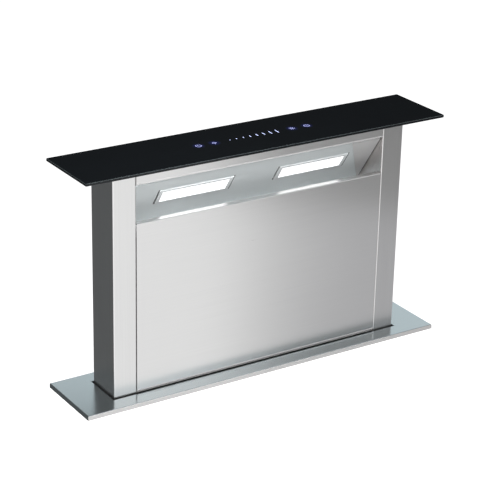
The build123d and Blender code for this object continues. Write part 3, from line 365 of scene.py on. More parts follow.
def column_steel(settings):
    """Steel brushed up and down, with painted shade on the columns' cheeks inside the intake."""
    material, tree, shader, streaked = brushed_steel(
        "column_steel_finish", settings.steel, (1400, 1400, 6), 0.30, 0.85
    )
    cheek_margin = 0.4 * MM
    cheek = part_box("light_panel")[1][0] + cheek_margin
    outside = is_over(tree, axis_reach(tree)["X"], cheek)
    # Painted shade: the cheeks inside the intake are multiplied by the cheek colour.
    cheek_shaded = mix_colours(tree, 1.0, streaked, (*settings.cheek, 1), "MULTIPLY")
    tree.links.new(mix_colours(tree, outside, cheek_shaded, streaked), shader.inputs["Base Color"])
    return material


def flange_steel(settings):
    """Steel brushed along the flange, with pale cut edges in front and behind: partly their own
    duller finish, partly a painted highlight.
    """
    material, tree, shader, streaked = brushed_steel(
        "flange_steel_finish", settings.flange, (8, 1300, 1300), 0.22
    )
    edge_margin = 0.2 * MM
    edge = is_over(tree, axis_reach(tree)["Y"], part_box("worktop_flange")[1][1] - edge_margin)
    # Pale cut edges: partly their own duller finish, partly a painted highlight.
    paint_highlight(tree, shader, edge, streaked, settings.cut_edge_highlight, 0.3)
    return material


def satin_sheet(settings):
    """Pale satin sheet with painted light towards its foot and painted shade towards its top,
    painted shade on its right corner tab, a painted shadow along its right end and painted
    shadows in the lamps' end slits.
    """
    material, tree, shader = start_finish("satin_steel_finish", settings.satin, 0.15, 0.34)
    grain = noise(tree, (10, 900, 900), detail=4.0)
    axes = signed_axes(tree)
    top_level, foot_level = 317.3 * MM, 242.2 * MM
    # Painted light and shade: shares that brighten the sheet at its foot and darken it at its
    # top, and darken the right corner tab more towards its top.
    foot_shade, top_shade = 1.16, 0.69
    tab_foot_shade, tab_top_shade = 0.69, 0.48

    def painted_shading(foot, top):
        """Painted light and shade: a grey that changes evenly from the sheet's foot to its top.
        """
        return grey(tree, spread(tree, axes["Z"], foot, top, foot_level, top_level))

    even = shaded(tree, settings.satin, grain, 0.94)
    # The grained satin with painted light at its foot and painted shade towards its top.
    sheet = mix_colours(tree, 1.0, even, painted_shading(foot_shade, top_shade), "MULTIPLY")

    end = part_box("light_panel")[1][0]
    tab_top, tab_foot, seam_shadow_width = 52 * MM, 4 * MM, 1.3 * MM
    lean = (tab_top - tab_foot) / (top_level - foot_level)
    upright_place = calculated(tree, "MULTIPLY_ADD", axes["Z"], lean, axes["X"])
    # Painted shade on the right corner tab, darker towards its top.
    on_shaded_tab = is_over(tree, upright_place, end - tab_top + lean * top_level)
    tab_shaded = mix_colours(tree, on_shaded_tab, sheet, painted_shading(tab_foot_shade, tab_top_shade))
    # Painted shadow: a dark strip along the sheet's right end.
    in_seam_shadow = is_over(tree, axes["X"], end - seam_shadow_width)
    seam_shadowed = mix_colours(tree, in_seam_shadow, tab_shaded, (*settings.seam, 1))

    lens_low, lens_high = (Vector(corner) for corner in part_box("lamp_lens_right"))
    lens_middle = (lens_low + lens_high) / 2
    slit_place, slit_half, rim = 61.1 * MM, 1.2 * MM, 3.4 * MM
    along = calculated(tree, "SUBTRACT", axis_reach(tree)["X"], abs(lens_middle.x))
    at_end = is_near(tree, calculated(tree, "ABSOLUTE", along), slit_place, slit_half)
    at_level = is_near(tree, axes["Z"], lens_middle.z, (lens_high.z - lens_low.z) / 2 + rim)
    # Painted shadows: dark slits beside both ends of each lamp.
    on_slit_shadow = calculated(tree, "MULTIPLY", at_end, at_level)
    slit_shadowed = mix_colours(tree, on_slit_shadow, seam_shadowed, (*settings.slit_shadow, 1))

    tree.links.new(slit_shadowed, shader.inputs["Base Color"])
    vary_roughness(tree, shader, grain, 0.34, 0.06)
    bump(tree, shader, grain, 0.01 * MM, 0.5)
    return material


def black_glass(settings):
    """Black glass with ground bevels, a little lighter than its faces: partly the bevels' own
    frost, partly a painted highlight along the top edges.
    """
    material, tree, shader = start_finish(
        "black_glass_finish", settings.glass, 0.0, 0.04, IOR=1.5, Specular_IOR_Level=0.25
    )
    low, high = (Vector(corner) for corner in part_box("glass_top"))
    half = (high - low) / 2
    bevel = settings.bevel_width
    reach = axis_reach(tree)
    near_x = is_over(tree, reach["X"], half.x - bevel)
    near_y = is_over(tree, reach["Y"], half.y - bevel)
    near_top = is_over(tree, reach["Z"], high.z - bevel)
    rim = calculated(tree, "MAXIMUM", near_x, near_y)
    ground = calculated(tree, "MULTIPLY", rim, near_top)
    smear = even_noise(tree, 30, detail=4.0)
    face = shaded(tree, settings.glass, smear, 0.8)
    # Lighter bevels: partly their own frost, partly a painted highlight.
    bevel_highlighted = mix_colours(tree, ground, face, (*settings.bevel, 1))
    tree.links.new(bevel_highlighted, shader.inputs["Base Color"])
    ground_roughness = 0.22
    polish = spread(tree, smear, 0.03, 0.06)
    rough = calculated(tree, "MULTIPLY_ADD", ground, ground_roughness, polish)
    tree.links.new(rough, shader.inputs["Roughness"])
    return material


def galvanised_sheet(settings):
    """Hot-dip zinc with its spangle of flat crystals."""
    material, tree, shader = start_finish(
        "galvanised_sheet_finish", settings.galvanised, 1.0, 0.38
    )
    crystals = add_node(
        tree,
        "ShaderNodeTexVoronoi",
        {"Vector": stretched_place(tree, (85, 85, 85)), "Scale": 1.0},
        feature="F1",
    )
    tone = add_node(tree, "ShaderNodeSeparateColor", {"Color": crystals.outputs["Color"]}).outputs
    veins = even_noise(tree, 260, detail=4.0)
    patched = shaded(tree, settings.galvanised, tone["Red"], 0.74)
    frosted = mix_colours(tree, 0.12, patched, veins, "OVERLAY")
    tree.links.new(frosted, shader.inputs["Base Color"])
    vary_roughness(tree, shader, tone["Green"], 0.40, 0.10)
    bump(tree, shader, tone["Blue"], 0.03 * MM, 0.4)
    return material


def grained_metal(name, base, roughness, grain_size, height, metallic=1.0):
    """Cast, plated or ground metal with an even grain; grain_size and height are in metres."""
    material, tree, shader = start_finish(name, base, metallic, roughness)
    grain = even_noise(tree, 1 / grain_size, detail=4.0)
    patches = even_noise(tree, 25)
    tree.links.new(shaded(tree, base, patches, 0.82), shader.inputs["Base Color"])
    vary_roughness(tree, shader, grain, roughness, 0.08)
    bump(tree, shader, grain, height)
    return material


def moulded(name, base, roughness, grain_size=0.7 * MM, darkest=0.85):
    """Moulded plastic or rubber with a fine texture and faint handling marks."""
    material, tree, shader = start_finish(name, base, 0.0, roughness)
    grain = even_noise(tree, 1 / grain_size, detail=2.0)
    marks = even_noise(tree, 18, detail=4.0)
    tree.links.new(shaded(tree, base, marks, darkest), shader.inputs["Base Color"])
    vary_roughness(tree, shader, marks, roughness, 0.06)
    bump(tree, shader, grain, 0.03 * MM)
    return material


def circuit_board():
    """Green solder mask over copper tracks."""
    mask, pale_mask, track = (0.02, 0.14, 0.05), (0.03, 0.19, 0.07), (0.10, 0.26, 0.08)
    material, tree, shader = start_finish("circuit_board_finish", mask, 0.0, 0.32)
    tracks = add_node(
        tree,
        "ShaderNodeTexBrick",
        {
            "Vector": stretched_place(tree),
            "Color1": (*mask, 1),
            "Color2": (*pale_mask, 1),
            "Mortar": (*track, 1),
            "Scale": 160.0,
            "Mortar Size": 0.05,
        },
    )
    tree.links.new(tracks.outputs["Color"], shader.inputs["Base Color"])
    bump(tree, shader, tracks.outputs["Fac"], 0.03 * MM)
    return material


def lit_lens(settings):
    """Opal lens, lit from behind, with faint prisms."""
    material, tree, shader = start_finish(
        "lamp_diffuser_finish",
        settings.light,
        0.0,
        0.35,
        Emission_Color=(*settings.light, 1),
        Emission_Strength=settings.light_level,
    )
    prisms = add_node(
        tree,
        "ShaderNodeTexWave",
        {"Vector": stretched_place(tree), "Scale": 80.0},
        bands_direction="X",
    )
    bump(tree, shader, prisms.outputs["Fac"], 0.2 * MM)
    return material


def lit_print(name, glow, strength):
    """Back-lit print on the glass."""
    material, tree, shader = start_finish(
        name, glow, 0.0, 0.3, Emission_Color=(*glow, 1), Emission_Strength=strength
    )
    speckle = even_noise(tree, 900, detail=2.0)
    tree.links.new(shaded(tree, glow, speckle, 0.8), shader.inputs["Base Color"])
    return material


def halo_print(settings, glass):
    """Print the colour of the glass, with a glow that fades out from the middle of each key."""
    material, tree, shader = start_finish(
        "halo_print_finish", glass, 0.0, 0.05, Specular_IOR_Level=0.25, Emission_Strength=1.0
    )
    reach = axis_reach(tree)
    distances = []
    for key_place in (settings.inner_place, settings.outer_place):
        along = calculated(tree, "SUBTRACT", reach["X"], key_place)
        flat = add_node(tree, "ShaderNodeCombineXYZ", {"X": along, "Y": reach["Y"]})
        away = add_node(
            tree, "ShaderNodeVectorMath", {0: flat.outputs["Vector"]}, operation="LENGTH"
        )
        distances.append(away.outputs["Value"])
    nearest = calculated(tree, "MINIMUM", *distances)
    rim, core = settings.halo_radius, 0.35 * settings.halo_radius
    fade = spread(tree, nearest, 0.0, 1.0, rim, core, interpolation_type="SMOOTHSTEP")
    glow = mix_colours(tree, fade, BLACK, (*settings.halo, 1))
    tree.links.new(glow, shader.inputs["Emission Color"])
    return material


def make_finishes(settings):
    """One material for each slot of the record, and one more for the columns."""
    made = {
        "black_glass": black_glass(settings),
        "brushed_steel": panel_steel(settings),
        "column_steel": column_steel(settings),
        "flange_steel": flange_steel(settings),
        "satin_steel": satin_sheet(settings),
        "lamp_diffuser": lit_lens(settings),
        "galvanised_sheet": galvanised_sheet(settings),
        "circuit_board": circuit_board(),
    }
    # Colour, roughness, grain size, grain height and, where it isn't 1, how metallic it is.
    metals = {
        "lamp_rim": ((0.80, 0.83, 0.84), 0.34, 0.6 * MM, 0.01 * MM, 0.15),
        "zinc_plate": (settings.zinc, 0.34, 0.9 * MM, 0.02 * MM),
        "cast_aluminium": ((0.62, 0.63, 0.64), 0.46, 1.4 * MM, 0.08 * MM),
        "filter_aluminium": ((0.72, 0.73, 0.74), 0.36, 1.0 * MM, 0.03 * MM),
        "ground_steel": ((0.62, 0.62, 0.62), 0.20, 0.4 * MM, 0.01 * MM),
        "bearing_bronze": ((0.52, 0.37, 0.18), 0.42, 0.8 * MM, 0.04 * MM),
    }
    for slot_name, values in metals.items():
        made[slot_name] = grained_metal(f"{slot_name}_finish", *values)
    # Colour, roughness and, where they aren't the usual ones, grain size and darkest share.
    mouldings = {
        "motor_paint": ((0.05, 0.05, 0.055), 0.38, 1.2 * MM),
        "black_rubber": ((0.018, 0.018, 0.018), 0.72, 0.9 * MM),
        "black_plastic": ((0.032, 0.032, 0.034), 0.48),
        "grey_plastic": ((0.42, 0.43, 0.44), 0.45),
        "white_plastic": ((0.78, 0.78, 0.75), 0.42, 0.7 * MM, 0.93),
    }
    for slot_name, values in mouldings.items():
        made[slot_name] = moulded(f"{slot_name}_finish", *values)
    return made


class DOWNDRAFT_OT_finishes(Operator):
    """Give every carried part the finish of its slot"""

    bl_idname = "downdraft.finishes"
    bl_label = "Finish the carried parts"

    def execute(self, context):
        made = make_finishes(context.scene.downdraft_finish)
        for row in frame["record"]["subparts"]:
            name, slot_name = row["node"], row["material_slot"]
            if name.startswith("column_"):
                slot_name = "column_steel"
            for holder in frame["nodes"][name].material_slots:
                holder.material = made[slot_name]
        return {"FINISHED"}


# ---------------------------------------------------------------- modelling helpers


MERGE_DISTANCE = 1e-6


def select_none():
    """Deselect everything, in object mode."""
    if bpy.context.mode != "OBJECT":
        bpy.ops.object.mode_set(mode="OBJECT")
    bpy.ops.object.select_all(action="DESELECT")


def start_shape(name):
    """Name the primitive that was just added and open it for editing."""
    made = bpy.context.active_object
    made.name = name
    made.data.name = name
    bpy.ops.object.transform_apply(location=True, rotation=True, scale=True)
    bpy.ops.object.mode_set(mode="EDIT")
    return made


def pick(made, mode, test):
    """Select the edges or faces of the open mesh that pass test."""
    bpy.ops.mesh.select_mode(type=mode)
    bpy.ops.mesh.select_all(action="DESELECT")
    mesh = bmesh.from_edit_mesh(made.data)
    for element in {"EDGE": mesh.edges, "FACE": mesh.faces}[mode]:
        element.select_set(bool(test(element)))
    mesh.select_flush_mode()
    bmesh.update_edit_mesh(made.data)


def finish_shape(made):
    """Close the mesh: doubles merged, normals out, edges shaded by angle."""
    bpy.ops.mesh.select_mode(type="VERT")
    bpy.ops.mesh.select_all(action="SELECT")
    bpy.ops.mesh.remove_doubles(threshold=MERGE_DISTANCE)
    bpy.ops.mesh.normals_make_consistent(inside=False)
    bpy.ops.object.mode_set(mode="OBJECT")
    bpy.ops.object.shade_smooth_by_angle(angle=math.radians(35))
    return made


def join_shapes(shapes, name):
    """Join shapes into one piece."""
    select_none()
    for shape in shapes:
        shape.select_set(True)
    bpy.context.view_layer.objects.active = shapes[0]
    if len(shapes) > 1:
        bpy.ops.object.join()
    shapes[0].name = name
    shapes[0].data.name = name
    return shapes[0]


def dress(piece, body, material):
    """Give a finished piece its material and the body that it rides on."""
    piece.data.materials.clear()
    piece.data.materials.append(material)
    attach(piece, body)


def finish_of(node):
    """The finish that a carried node has."""
    return frame["nodes"][node].material_slots[0].material


def printed_ring(centre, radius, line, ink, gap_middle=None, gap_half=0.0):
    """A flat ring, with a gap about the angle gap_middle."""
    select_none()
    bpy.ops.mesh.primitive_circle_add(
        vertices=48, radius=radius, fill_type="NOTHING", location=centre
    )
    made = start_shape("ring")
    bpy.ops.mesh.select_all(action="SELECT")
    bpy.ops.mesh.extrude_region_move()
    inner = (radius - line) / radius
    bpy.ops.transform.resize(value=(inner, inner, 1), center_override=centre)
    if gap_middle is not None:

        def in_gap(face):
            offset = face.calc_center_median() - Vector(centre)
            away = math.atan2(offset.y, offset.x) - gap_middle
            return abs((away + math.pi) % (2 * math.pi) - math.pi) < gap_half

        pick(made, "FACE", in_gap)
        bpy.ops.mesh.delete(type="FACE")
    bpy.ops.mesh.select_mode(type="FACE")
    bpy.ops.mesh.select_all(action="SELECT")
    bpy.ops.mesh.extrude_region_move(TRANSFORM_OT_translate={"value": (0, 0, ink)})
    return finish_shape(made)


def printed_bar(centre, width, depth, ink, angle=0.0):
    """A flat bar with round ends, turned by angle about its middle."""
    select_none()
    bpy.ops.mesh.primitive_cube_add(size=1, location=centre)
    bpy.context.active_object.scale = (width, depth, ink)
    bpy.context.active_object.rotation_euler = (0, 0, angle)
    made = start_shape("bar")
    pick(made, "EDGE", lambda edge: abs((edge.verts[0].co - edge.verts[1].co).z) > ink / 2)
    bpy.ops.mesh.bevel(offset=0.48 * min(width, depth), segments=4, affect="EDGES")
    return finish_shape(made)


# ---------------------------------------------------------------- printed keys


def key_signs(settings, base):
    """The four keys' signs from left to right, as lists of shapes standing on the level base."""
    radius = settings.sign_radius
    line = settings.sign_line
    ink = settings.ink

    def bar(x, y, width, depth, angle=0.0):
        return printed_bar((x, y, base + ink / 2), width, depth, ink, angle)

    def ring(x, size, *gap):
        return printed_ring((x, 0, base), size, line, ink, *gap)

    far_left, near_left = -settings.outer_place, -settings.inner_place
    near_right, far_right = settings.inner_place, settings.outer_place

    upright, gap_half = math.pi / 2, 0.55
    on_off = [
        ring(far_left, radius, upright, gap_half),
        bar(far_left, 0.62 * radius, line, 0.9 * radius),
    ]

    arrow_x, arrow_y, arrow_slant = 0.33 * radius, 0.36 * radius, math.radians(42)
    raise_lower = [
        bar(near_left + side * arrow_x, half * arrow_y, radius, line, -side * half * arrow_slant)
        for half in (1, -1)
        for side in (-1, 1)
    ]

    ray_count, ray_reach, ray_length, ray_width = 8, 0.86 * radius, 0.4 * radius, 0.7 * line
    lamp = [ring(near_right, 0.5 * radius)]
    for step in range(ray_count):
        angle = 2 * math.pi * step / ray_count
        x, y = near_right + ray_reach * math.cos(angle), ray_reach * math.sin(angle)
        lamp.append(bar(x, y, ray_length, ray_width, angle))

    hand_width, long_hand, short_hand = 0.8 * line, 0.62 * radius, 0.55 * radius
    timer = [
        ring(far_right, radius),
        bar(far_right, 0.28 * radius, hand_width, long_hand),
        bar(far_right + 0.24 * radius, 0, short_hand, hand_width),
    ]
    return {
        "sign_on_off": on_off,
        "sign_raise": raise_lower,
        "sign_lamp": lamp,
        "sign_timer": timer,
    }


class DOWNDRAFT_OT_key_signs(Operator):
    """Print the four touch keys' signs on the glass"""

    bl_idname = "downdraft.key_signs"
    bl_label = "Touch key signs"

    def execute(self, context):
        settings = context.scene.downdraft_keys
        halo_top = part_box("glass_top")[1][2] + 0.5 * settings.ink
        print_finish = lit_print("key_print_finish", settings.glow, settings.glow_level)
        for name, shapes in key_signs(settings, halo_top).items():
            dress(join_shapes(shapes, name), "hood", print_finish)
        return {"FINISHED"}


class DOWNDRAFT_OT_key_halos(Operator):
    """Print the dim blue glow round each touch key's sign"""

    bl_idname = "downdraft.key_halos"
    bl_label = "Touch key halos"

    def execute(self, context):
        settings = context.scene.downdraft_keys
        glass_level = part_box("glass_top")[1][2]
        halo_height = 0.5 * settings.ink
        outer, inner = settings.outer_place, settings.inner_place
        shapes = []
        for place in (-outer, -inner, inner, outer):
            select_none()
            bpy.ops.mesh.primitive_cylinder_add(
                vertices=40,
                radius=settings.halo_radius,
                depth=halo_height,
                location=(place, 0, glass_level + halo_height / 2),
            )
            shapes.append(finish_shape(start_shape("halo")))
        halo_finish = halo_print(settings, context.scene.downdraft_finish.glass)
        dress(join_shapes(shapes, "key_halos"), "hood", halo_finish)
        return {"FINISHED"}


class DOWNDRAFT_OT_slider_ticks(Operator):
    """Print the slider's marks, each longer than the one before"""

    bl_idname = "downdraft.slider_ticks"
    bl_label = "Slider marks"

    def execute(self, context):
        settings = context.scene.downdraft_keys
        width = settings.tick_width
        middle_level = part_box("glass_top")[1][2] + settings.ink / 2
        last = settings.tick_count - 1
        shapes = []
        for place in range(settings.tick_count):
            depth = width + place / last * (settings.tick_longest - width)
            centre = ((place - last / 2) * settings.tick_pitch, 0, middle_level)
            shapes.append(printed_bar(centre, width, depth, settings.ink))
        print_finish = lit_print("slider_print_finish", settings.tick_glow, settings.tick_level)
        dress(join_shapes(shapes, "slider_ticks"), "hood", print_finish)
        return {"FINISHED"}


# ---------------------------------------------------------------- fasteners and ribs


def loose_solids(name):
    """Lowest and highest corners of each separate solid of a carried node."""
    mesh = bmesh.new()
    mesh.from_mesh(frame["nodes"][name].data)
    bmesh.ops.remove_doubles(mesh, verts=mesh.verts, dist=MERGE_DISTANCE)
    left = set(mesh.verts)
    boxes = []
    while left:
        wave = [left.pop()]
        corners = []
        while wave:
            vertex = wave.pop()
            corners.append(vertex.co.copy())
            for edge in vertex.link_edges:
                other = edge.other_vert(vertex)
                if other in left:
                    left.remove(other)
                    wave.append(other)
        low = Vector([min(corner[axis] for corner in corners) for axis in range(3)])
        high = Vector([max(corner[axis] for corner in corners) for axis in range(3)])
        boxes.append((low, high))
    mesh.free()
    return sorted(boxes, key=lambda box: tuple(round(value, 5) for value in box[0]))


def screw_head(radius, height):
    """Hexagon washer head with a dished top, standing on z = 0 at the origin."""
    washer_radius, washer_height = 1.22 * radius, 0.25 * height
    select_none()
    bpy.ops.mesh.primitive_cylinder_add(vertices=24, radius=washer_radius, depth=washer_height)
    bpy.ops.transform.translate(value=(0, 0, washer_height / 2))
    washer = start_shape("washer")
    washer_top = 0.8 * washer_height
    pick(washer, "EDGE", lambda edge: all(vert.co.z > washer_top for vert in edge.verts))
    bpy.ops.mesh.bevel(offset=0.08 * height, segments=2, affect="EDGES")
    finish_shape(washer)

    select_none()
    bpy.ops.mesh.primitive_cylinder_add(vertices=6, radius=radius, depth=height)
    bpy.ops.transform.translate(value=(0, 0, height / 2))
    head = start_shape("head")
    head_top = 0.9 * height
    pick(head, "EDGE", lambda edge: all(vert.co.z > head_top for vert in edge.verts))
    bpy.ops.mesh.bevel(offset=0.12 * radius, segments=2, affect="EDGES")
    pick(
        head,
        "FACE",
        lambda face: face.normal.z > 0.9 and face.calc_center_median().z > head_top,
    )
    rim_width, dish_slope, dish_depth = 0.22 * radius, 0.05 * radius, 0.22 * height
    bpy.ops.mesh.inset(thickness=rim_width)
    bpy.ops.mesh.inset(thickness=dish_slope)
    bpy.ops.transform.translate(value=(0, 0, -dish_depth))
    finish_shape(head)
    return join_shapes([washer, head], "screw_head")


def copy_screw(pattern, base, outward):
    """A copy of the screw head, its foot at base and its top towards outward."""
    copied = pattern.copy()
    copied.data = pattern.data.copy()
    bpy.context.collection.objects.link(copied)
    turned = outward.to_track_quat("Z", "Y").to_matrix().to_4x4()
    copied.data.transform(Matrix.Translation(base) @ turned)
    return copied


def outward_of(name, middle):
    """The way a screw faces: away from the middle of what its node is fixed to."""
    if name == "hood_screws":
        return Vector((math.copysign(1, middle.x), 0, 0))
    return Vector((0, math.copysign(1, middle.y), 0))


class DOWNDRAFT_OT_screws(Operator):
    """Model the heads of the sheet-metal screws of the chassis and the hood"""

    bl_idname = "downdraft.screws"
    bl_label = "Screws"

    def execute(self, context):
        bodies = {"chassis_screws": "chassis", "hood_screws": "hood"}
        finish = finish_of("chassis_screws")
        for name, body in bodies.items():
            solids = loose_solids(name)
            height, _, width = sorted(solids[0][1] - solids[0][0])
            pattern = screw_head(width / 2, height)
            copies = []
            for low, high in solids:
                middle = (low + high) / 2
                outward = outward_of(name, middle)
                copies.append(copy_screw(pattern, middle - outward * height / 2, outward))
            bpy.data.objects.remove(pattern)
            piece = join_shapes(copies, name.replace("screws", "screw_heads"))
            dress(piece, body, finish)
            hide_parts(name)
        return {"FINISHED"}


class DOWNDRAFT_OT_lid_ribs(Operator):
    """Model the cooling ribs on the control box's lid"""

    bl_idname = "downdraft.lid_ribs"
    bl_label = "Control lid ribs"

    def execute(self, context):
        low, high = (Vector(corner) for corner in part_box("control_box_lid"))
        middle = (low + high) / 2
        rib_count = 9
        rib_pitch = 8 * MM
        rib_width = 2.4 * MM
        rib_height = 1.4 * MM
        rib_length = 0.6 * (high.x - low.x)
        shapes = []
        for place in range(rib_count):
            rib_level = middle.z + (place - (rib_count - 1) / 2) * rib_pitch
            select_none()
            bpy.ops.mesh.primitive_cube_add(size=1, location=(middle.x, low.y, rib_level))
            bpy.context.active_object.scale = (rib_length, 2 * rib_height, rib_width)
            rib = start_shape("rib")
            pick(rib, "EDGE", lambda edge: all(vert.co.y < low.y for vert in edge.verts))
            bpy.ops.mesh.bevel(offset=0.45 * rib_width, segments=3, affect="EDGES")
            shapes.append(finish_shape(rib))
        ribs = join_shapes(shapes, "lid_ribs")
        dress(ribs, "chassis", finish_of("control_box_lid"))
        return {"FINISHED"}


# ---------------------------------------------------------------- stage


# Shaded patches in the sky that the metal mirrors: azimuth, elevation, the angle inside which
# the shade is full, the angle past which there is none, all in degrees, and the shade.
SKY_PATCHES = (
    (0, 90, 36, 66, (0.50, 0.52, 0.54)),
    (146.8, 12, 16, 40, (0.62, 0.68, 0.70)),
    (-146.8, 0, 40, 60, (0.088, 0.092, 0.094)),
    (82, -22, 36, 48, (0.24, 0.24, 0.25)),
)

# Area lights: name, the point they aim at, azimuth and elevation in degrees, distance and
# side in metres, and power in watts.
LIGHTS = (
    ("key_light", (0, 0, 0), -50, 55, 3.0, 2.0, 60),
    ("fill_light", (0, 0, 0), 60, 40, 3.0, 2.5, 35),
    ("front_light", (-0.20, 0, 0.27), 0, 38, 0.55, 0.3, 4.0),
)


def aim(azimuth, elevation):
    """Unit vector from the object towards a place seen at that azimuth and elevation."""
    return Vector((
        math.sin(azimuth) * math.cos(elevation),
        -math.cos(azimuth) * math.cos(elevation),
        math.sin(elevation),
    ))


def place_camera(settings):
    """Camera at the photograph's angle."""
    back = aim(settings.azimuth, settings.elevation)
    right = Vector((0, 0, 1)).cross(back).normalized()
    up = back.cross(right)
    turned_right = math.cos(settings.roll) * right + math.sin(settings.roll) * up
    turned_up = -math.sin(settings.roll) * right + math.cos(settings.roll) * up
    view = Matrix((turned_right, turned_up, back)).transposed().to_4x4()
    view.translation = Vector(settings.target) + settings.distance * back
    data = bpy.data.cameras.new("camera")
    data.lens = settings.lens
    data.sensor_width = 36
    camera = bpy.data.objects.new("camera", data)
    camera.matrix_world = view
    bpy.context.collection.objects.link(camera)
    bpy.context.scene.camera = camera


def sky_patch(tree, direction, before, azimuth, elevation, full, none, shade):
    """Blend shade into the sky round a direction: full inside one angle, none past another."""
    centre = aim(math.radians(azimuth), math.radians(elevation))
    near = add_node(
        tree, "ShaderNodeVectorMath", {0: direction, 1: centre}, operation="DOT_PRODUCT"
    )
    start, end = math.cos(math.radians(none)), math.cos(math.radians(full))
    share = spread(
        tree, near.outputs["Value"], 0.0, 1.0, start, end, interpolation_type="SMOOTHSTEP"
    )
    return mix_colours(tree, share, before, (*shade, 1))


def make_world(settings):
    """White to the camera, a studio of light and dark patches to the metal, even light else."""
    world = bpy.data.worlds.new("studio")
    world.use_nodes = True
    bpy.context.scene.world = world
    tree = world.node_tree
    direction = add_node(tree, "ShaderNodeTexCoord").outputs["Generated"]
    sky = WHITE
    for patch in SKY_PATCHES:
        sky = sky_patch(tree, direction, sky, *patch)
    path = add_node(tree, "ShaderNodeLightPath").outputs
    mirrored = calculated(tree, "MAXIMUM", path["Is Glossy Ray"], path["Is Transmission Ray"])
    room = settings.world_level
    lit = mix_colours(tree, mirrored, (room, room, room, 1), sky)
    shown = mix_colours(tree, path["Is Camera Ray"], lit, WHITE)
    background = tree.nodes["Background"].inputs
    tree.links.new(shown, background["Color"])
    background["Strength"].default_value = 1.0


def pale_ground(name, settings):
    """Pale stage surface that keeps a soft shadow and reads white where nothing shades it."""
    material = bpy.data.materials.new(name)
    material.use_nodes = True
    tree = material.node_tree
    tree.nodes.remove(tree.nodes["Principled BSDF"])
    base = settings.ground_base
    matt = add_node(tree, "ShaderNodeBsdfDiffuse", {"Color": (base, base, base, 1)})
    glowing = add_node(
        tree, "ShaderNodeEmission", {"Color": WHITE, "Strength": settings.ground_glow}
    )
    dark = add_node(tree, "ShaderNodeEmission", {"Color": BLACK, "Strength": 0.0})
    path = add_node(tree, "ShaderNodeLightPath").outputs
    chosen = add_node(
        tree,
        "ShaderNodeMixShader",
        {0: path["Is Camera Ray"], 1: dark.outputs["Emission"], 2: glowing.outputs["Emission"]},
    )
    both = add_node(
        tree, "ShaderNodeAddShader", {0: matt.outputs["BSDF"], 1: chosen.outputs["Shader"]}
    )
    tree.links.new(both.outputs["Shader"], tree.nodes["Material Output"].inputs["Surface"])
    return material


def make_floor(settings):
    """Floor just under the chassis."""
    floor_size, floor_gap = 40, 0.5 * MM
    select_none()
    bpy.ops.mesh.primitive_plane_add(size=floor_size, location=(0, 0, CAD_BOX[0][2] - floor_gap))
    floor = bpy.context.active_object
    floor.name = "studio_floor"
    floor.data.materials.append(pale_ground("floor_paint", settings))
    floor.visible_glossy = False


def make_worktop(settings):
    """Worktop slab with the cut-out that the chassis hangs in."""
    left, right, front, rear = -0.62, 0.42, -0.78, 0.13
    low, high = Vector((left, front, -settings.slab)), Vector((right, rear, 0))
    select_none()
    bpy.ops.mesh.primitive_cube_add(size=1, location=(low + high) / 2)
    slab = bpy.context.active_object
    slab.name = "studio_worktop"
    slab.scale = high - low
    bpy.ops.object.transform_apply(location=True, rotation=True, scale=True)
    front_low, front_high = (Vector(corner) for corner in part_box("chassis_front_wall"))
    rear_high = Vector(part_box("chassis_rear_wall")[1])
    gap = settings.cut_gap
    select_none()
    bpy.ops.mesh.primitive_cube_add(size=1, location=(0, (front_low.y + rear_high.y) / 2, 0))
    cutter = bpy.context.active_object
    cutter.scale = (front_high.x - front_low.x + 2 * gap, rear_high.y - front_low.y + 2 * gap, 1)
    cut = slab.modifiers.new("cut_out", "BOOLEAN")
    cut.object = cutter
    cut.operation = "DIFFERENCE"
    select_none()
    slab.select_set(True)
    bpy.context.view_layer.objects.active = slab
    bpy.ops.object.modifier_apply(modifier="cut_out")
    bpy.data.objects.remove(cutter)
    slab.data.materials.append(pale_ground("worktop_paint", settings))
    slab.visible_glossy = False


def hang_card(name, towards, distance, base, width, height, shade):
    """A screen that only mirrors see, square to the line from base towards it."""
    select_none()
    bpy.ops.mesh.primitive_plane_add(size=1)
    card = bpy.context.active_object
    card.name = name
    card.scale = (width, height, 1)
    card.rotation_euler = towards.to_track_quat("Z", "Y").to_euler()
    card.location = Vector(base) + distance * towards
    material = bpy.data.materials.new(name)
    material.use_nodes = True
    shader = material.node_tree.nodes["Principled BSDF"]
    shader.inputs["Base Color"].default_value = BLACK
    shader.inputs["Specular IOR Level"].default_value = 0
    shader.inputs["Emission Color"].default_value = (*shade, 1)
    shader.inputs["Emission Strength"].default_value = 1
    card.data.materials.append(material)
    card.visible_camera = False
    card.visible_diffuse = False
    card.visible_shadow = False


def hang_cards(settings):
    """Screens for the glass, the chimney's front and the flange to mirror."""
    chimney_azimuth, flange_elevation = math.radians(38), math.radians(36)
    behind = aim(math.pi + settings.azimuth, settings.elevation)
    before = aim(chimney_azimuth, -settings.elevation)
    twice_mirrored = aim(-settings.azimuth, flange_elevation)
    glass_middle = (0, 0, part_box("glass_top")[1][2])
    flange_right = (0.32, -0.04, 0)
    # Name, direction and distance from the point that it faces, that point, width, height and
    # shade; lengths in metres. The middle screen must hang farther off than the side screen,
    # which covers part of it.
    cards = (
        ("glass_screen", behind, 0.5, glass_middle, 1.0, 0.26, (0.02, 0.02, 0.02)),
        ("middle_screen", before, 0.6, (0.22, 0.08, 0.15), 0.7, 0.60, (0.58, 0.58, 0.58)),
        ("side_screen", before, 0.45, (0.31, 0.08, 0.15), 0.64, 0.60, (0.41, 0.41, 0.42)),
        ("top_screen", before, 0.43, (0.11, -0.03, 0.345), 0.42, 0.18, (0.25, 0.25, 0.25)),
        ("flange_screen", twice_mirrored, 0.45, flange_right, 0.48, 0.22, (0.05, 0.05, 0.05)),
    )
    for card in cards:
        hang_card(*card)


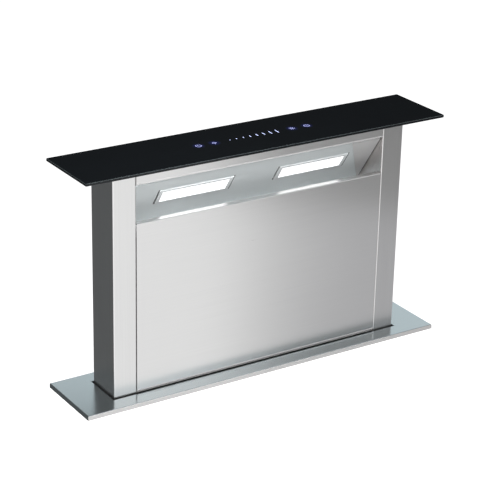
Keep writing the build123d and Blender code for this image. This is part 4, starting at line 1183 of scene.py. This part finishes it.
def hang_light(name, base, azimuth, elevation, distance, size, power):
    """Soft square lamp aimed at base, not mirrored in the vent."""
    towards = aim(math.radians(azimuth), math.radians(elevation))
    data = bpy.data.lights.new(name, "AREA")
    data.shape = "SQUARE"
    data.size = size
    data.energy = power
    lamp = bpy.data.objects.new(name, data)
    lamp.location = Vector(base) + distance * towards
    lamp.rotation_euler = towards.to_track_quat("Z", "Y").to_euler()
    lamp.visible_glossy = False
    bpy.context.collection.objects.link(lamp)


class DOWNDRAFT_OT_stage(Operator):
    """Set up the camera, worktop, floor, screens and light"""

    bl_idname = "downdraft.stage"
    bl_label = "Studio"

    def execute(self, context):
        settings = context.scene.downdraft_stage
        context.scene.view_settings.view_transform = "Standard"
        place_camera(settings)
        make_world(settings)
        make_floor(settings)
        make_worktop(settings)
        hang_cards(settings)
        for light in LIGHTS:
            hang_light(*light)
        return {"FINISHED"}


# ---------------------------------------------------------------- panel


OPERATORS = (
    DOWNDRAFT_OT_finishes,
    DOWNDRAFT_OT_key_halos,
    DOWNDRAFT_OT_key_signs,
    DOWNDRAFT_OT_slider_ticks,
    DOWNDRAFT_OT_screws,
    DOWNDRAFT_OT_lid_ribs,
    DOWNDRAFT_OT_stage,
)


class DOWNDRAFT_PT_sidebar(Panel):
    """Steps and settings of the downdraft vent"""

    bl_idname = "DOWNDRAFT_PT_sidebar"
    bl_label = "Downdraft vent"
    bl_space_type = "VIEW_3D"
    bl_region_type = "UI"
    bl_category = "Downdraft"

    def draw(self, context):
        for operator in OPERATORS:
            self.layout.operator(operator.bl_idname)
        scene = context.scene
        for settings in (scene.downdraft_keys, scene.downdraft_finish, scene.downdraft_stage):
            box = self.layout.box()
            for name in settings.__annotations__:
                box.prop(settings, name)


CLASSES = (KeySettings, FinishSettings, StageSettings, *OPERATORS, DOWNDRAFT_PT_sidebar)


def register():
    """Register the classes and their settings."""
    for cls in CLASSES:
        bpy.utils.register_class(cls)
    bpy.types.Scene.downdraft_keys = PointerProperty(type=KeySettings)
    bpy.types.Scene.downdraft_finish = PointerProperty(type=FinishSettings)
    bpy.types.Scene.downdraft_stage = PointerProperty(type=StageSettings)


def unregister():
    """Take the settings and classes away again."""
    del bpy.types.Scene.downdraft_stage
    del bpy.types.Scene.downdraft_finish
    del bpy.types.Scene.downdraft_keys
    for cls in reversed(CLASSES):
        bpy.utils.unregister_class(cls)


def main():
    """Make every piece and the studio."""
    register()
    bpy.ops.downdraft.finishes()
    bpy.ops.downdraft.key_halos()
    bpy.ops.downdraft.key_signs()
    bpy.ops.downdraft.slider_ticks()
    bpy.ops.downdraft.screws()
    bpy.ops.downdraft.lid_ribs()
    bpy.ops.downdraft.stage()


if __name__ == "__main__":
    main()
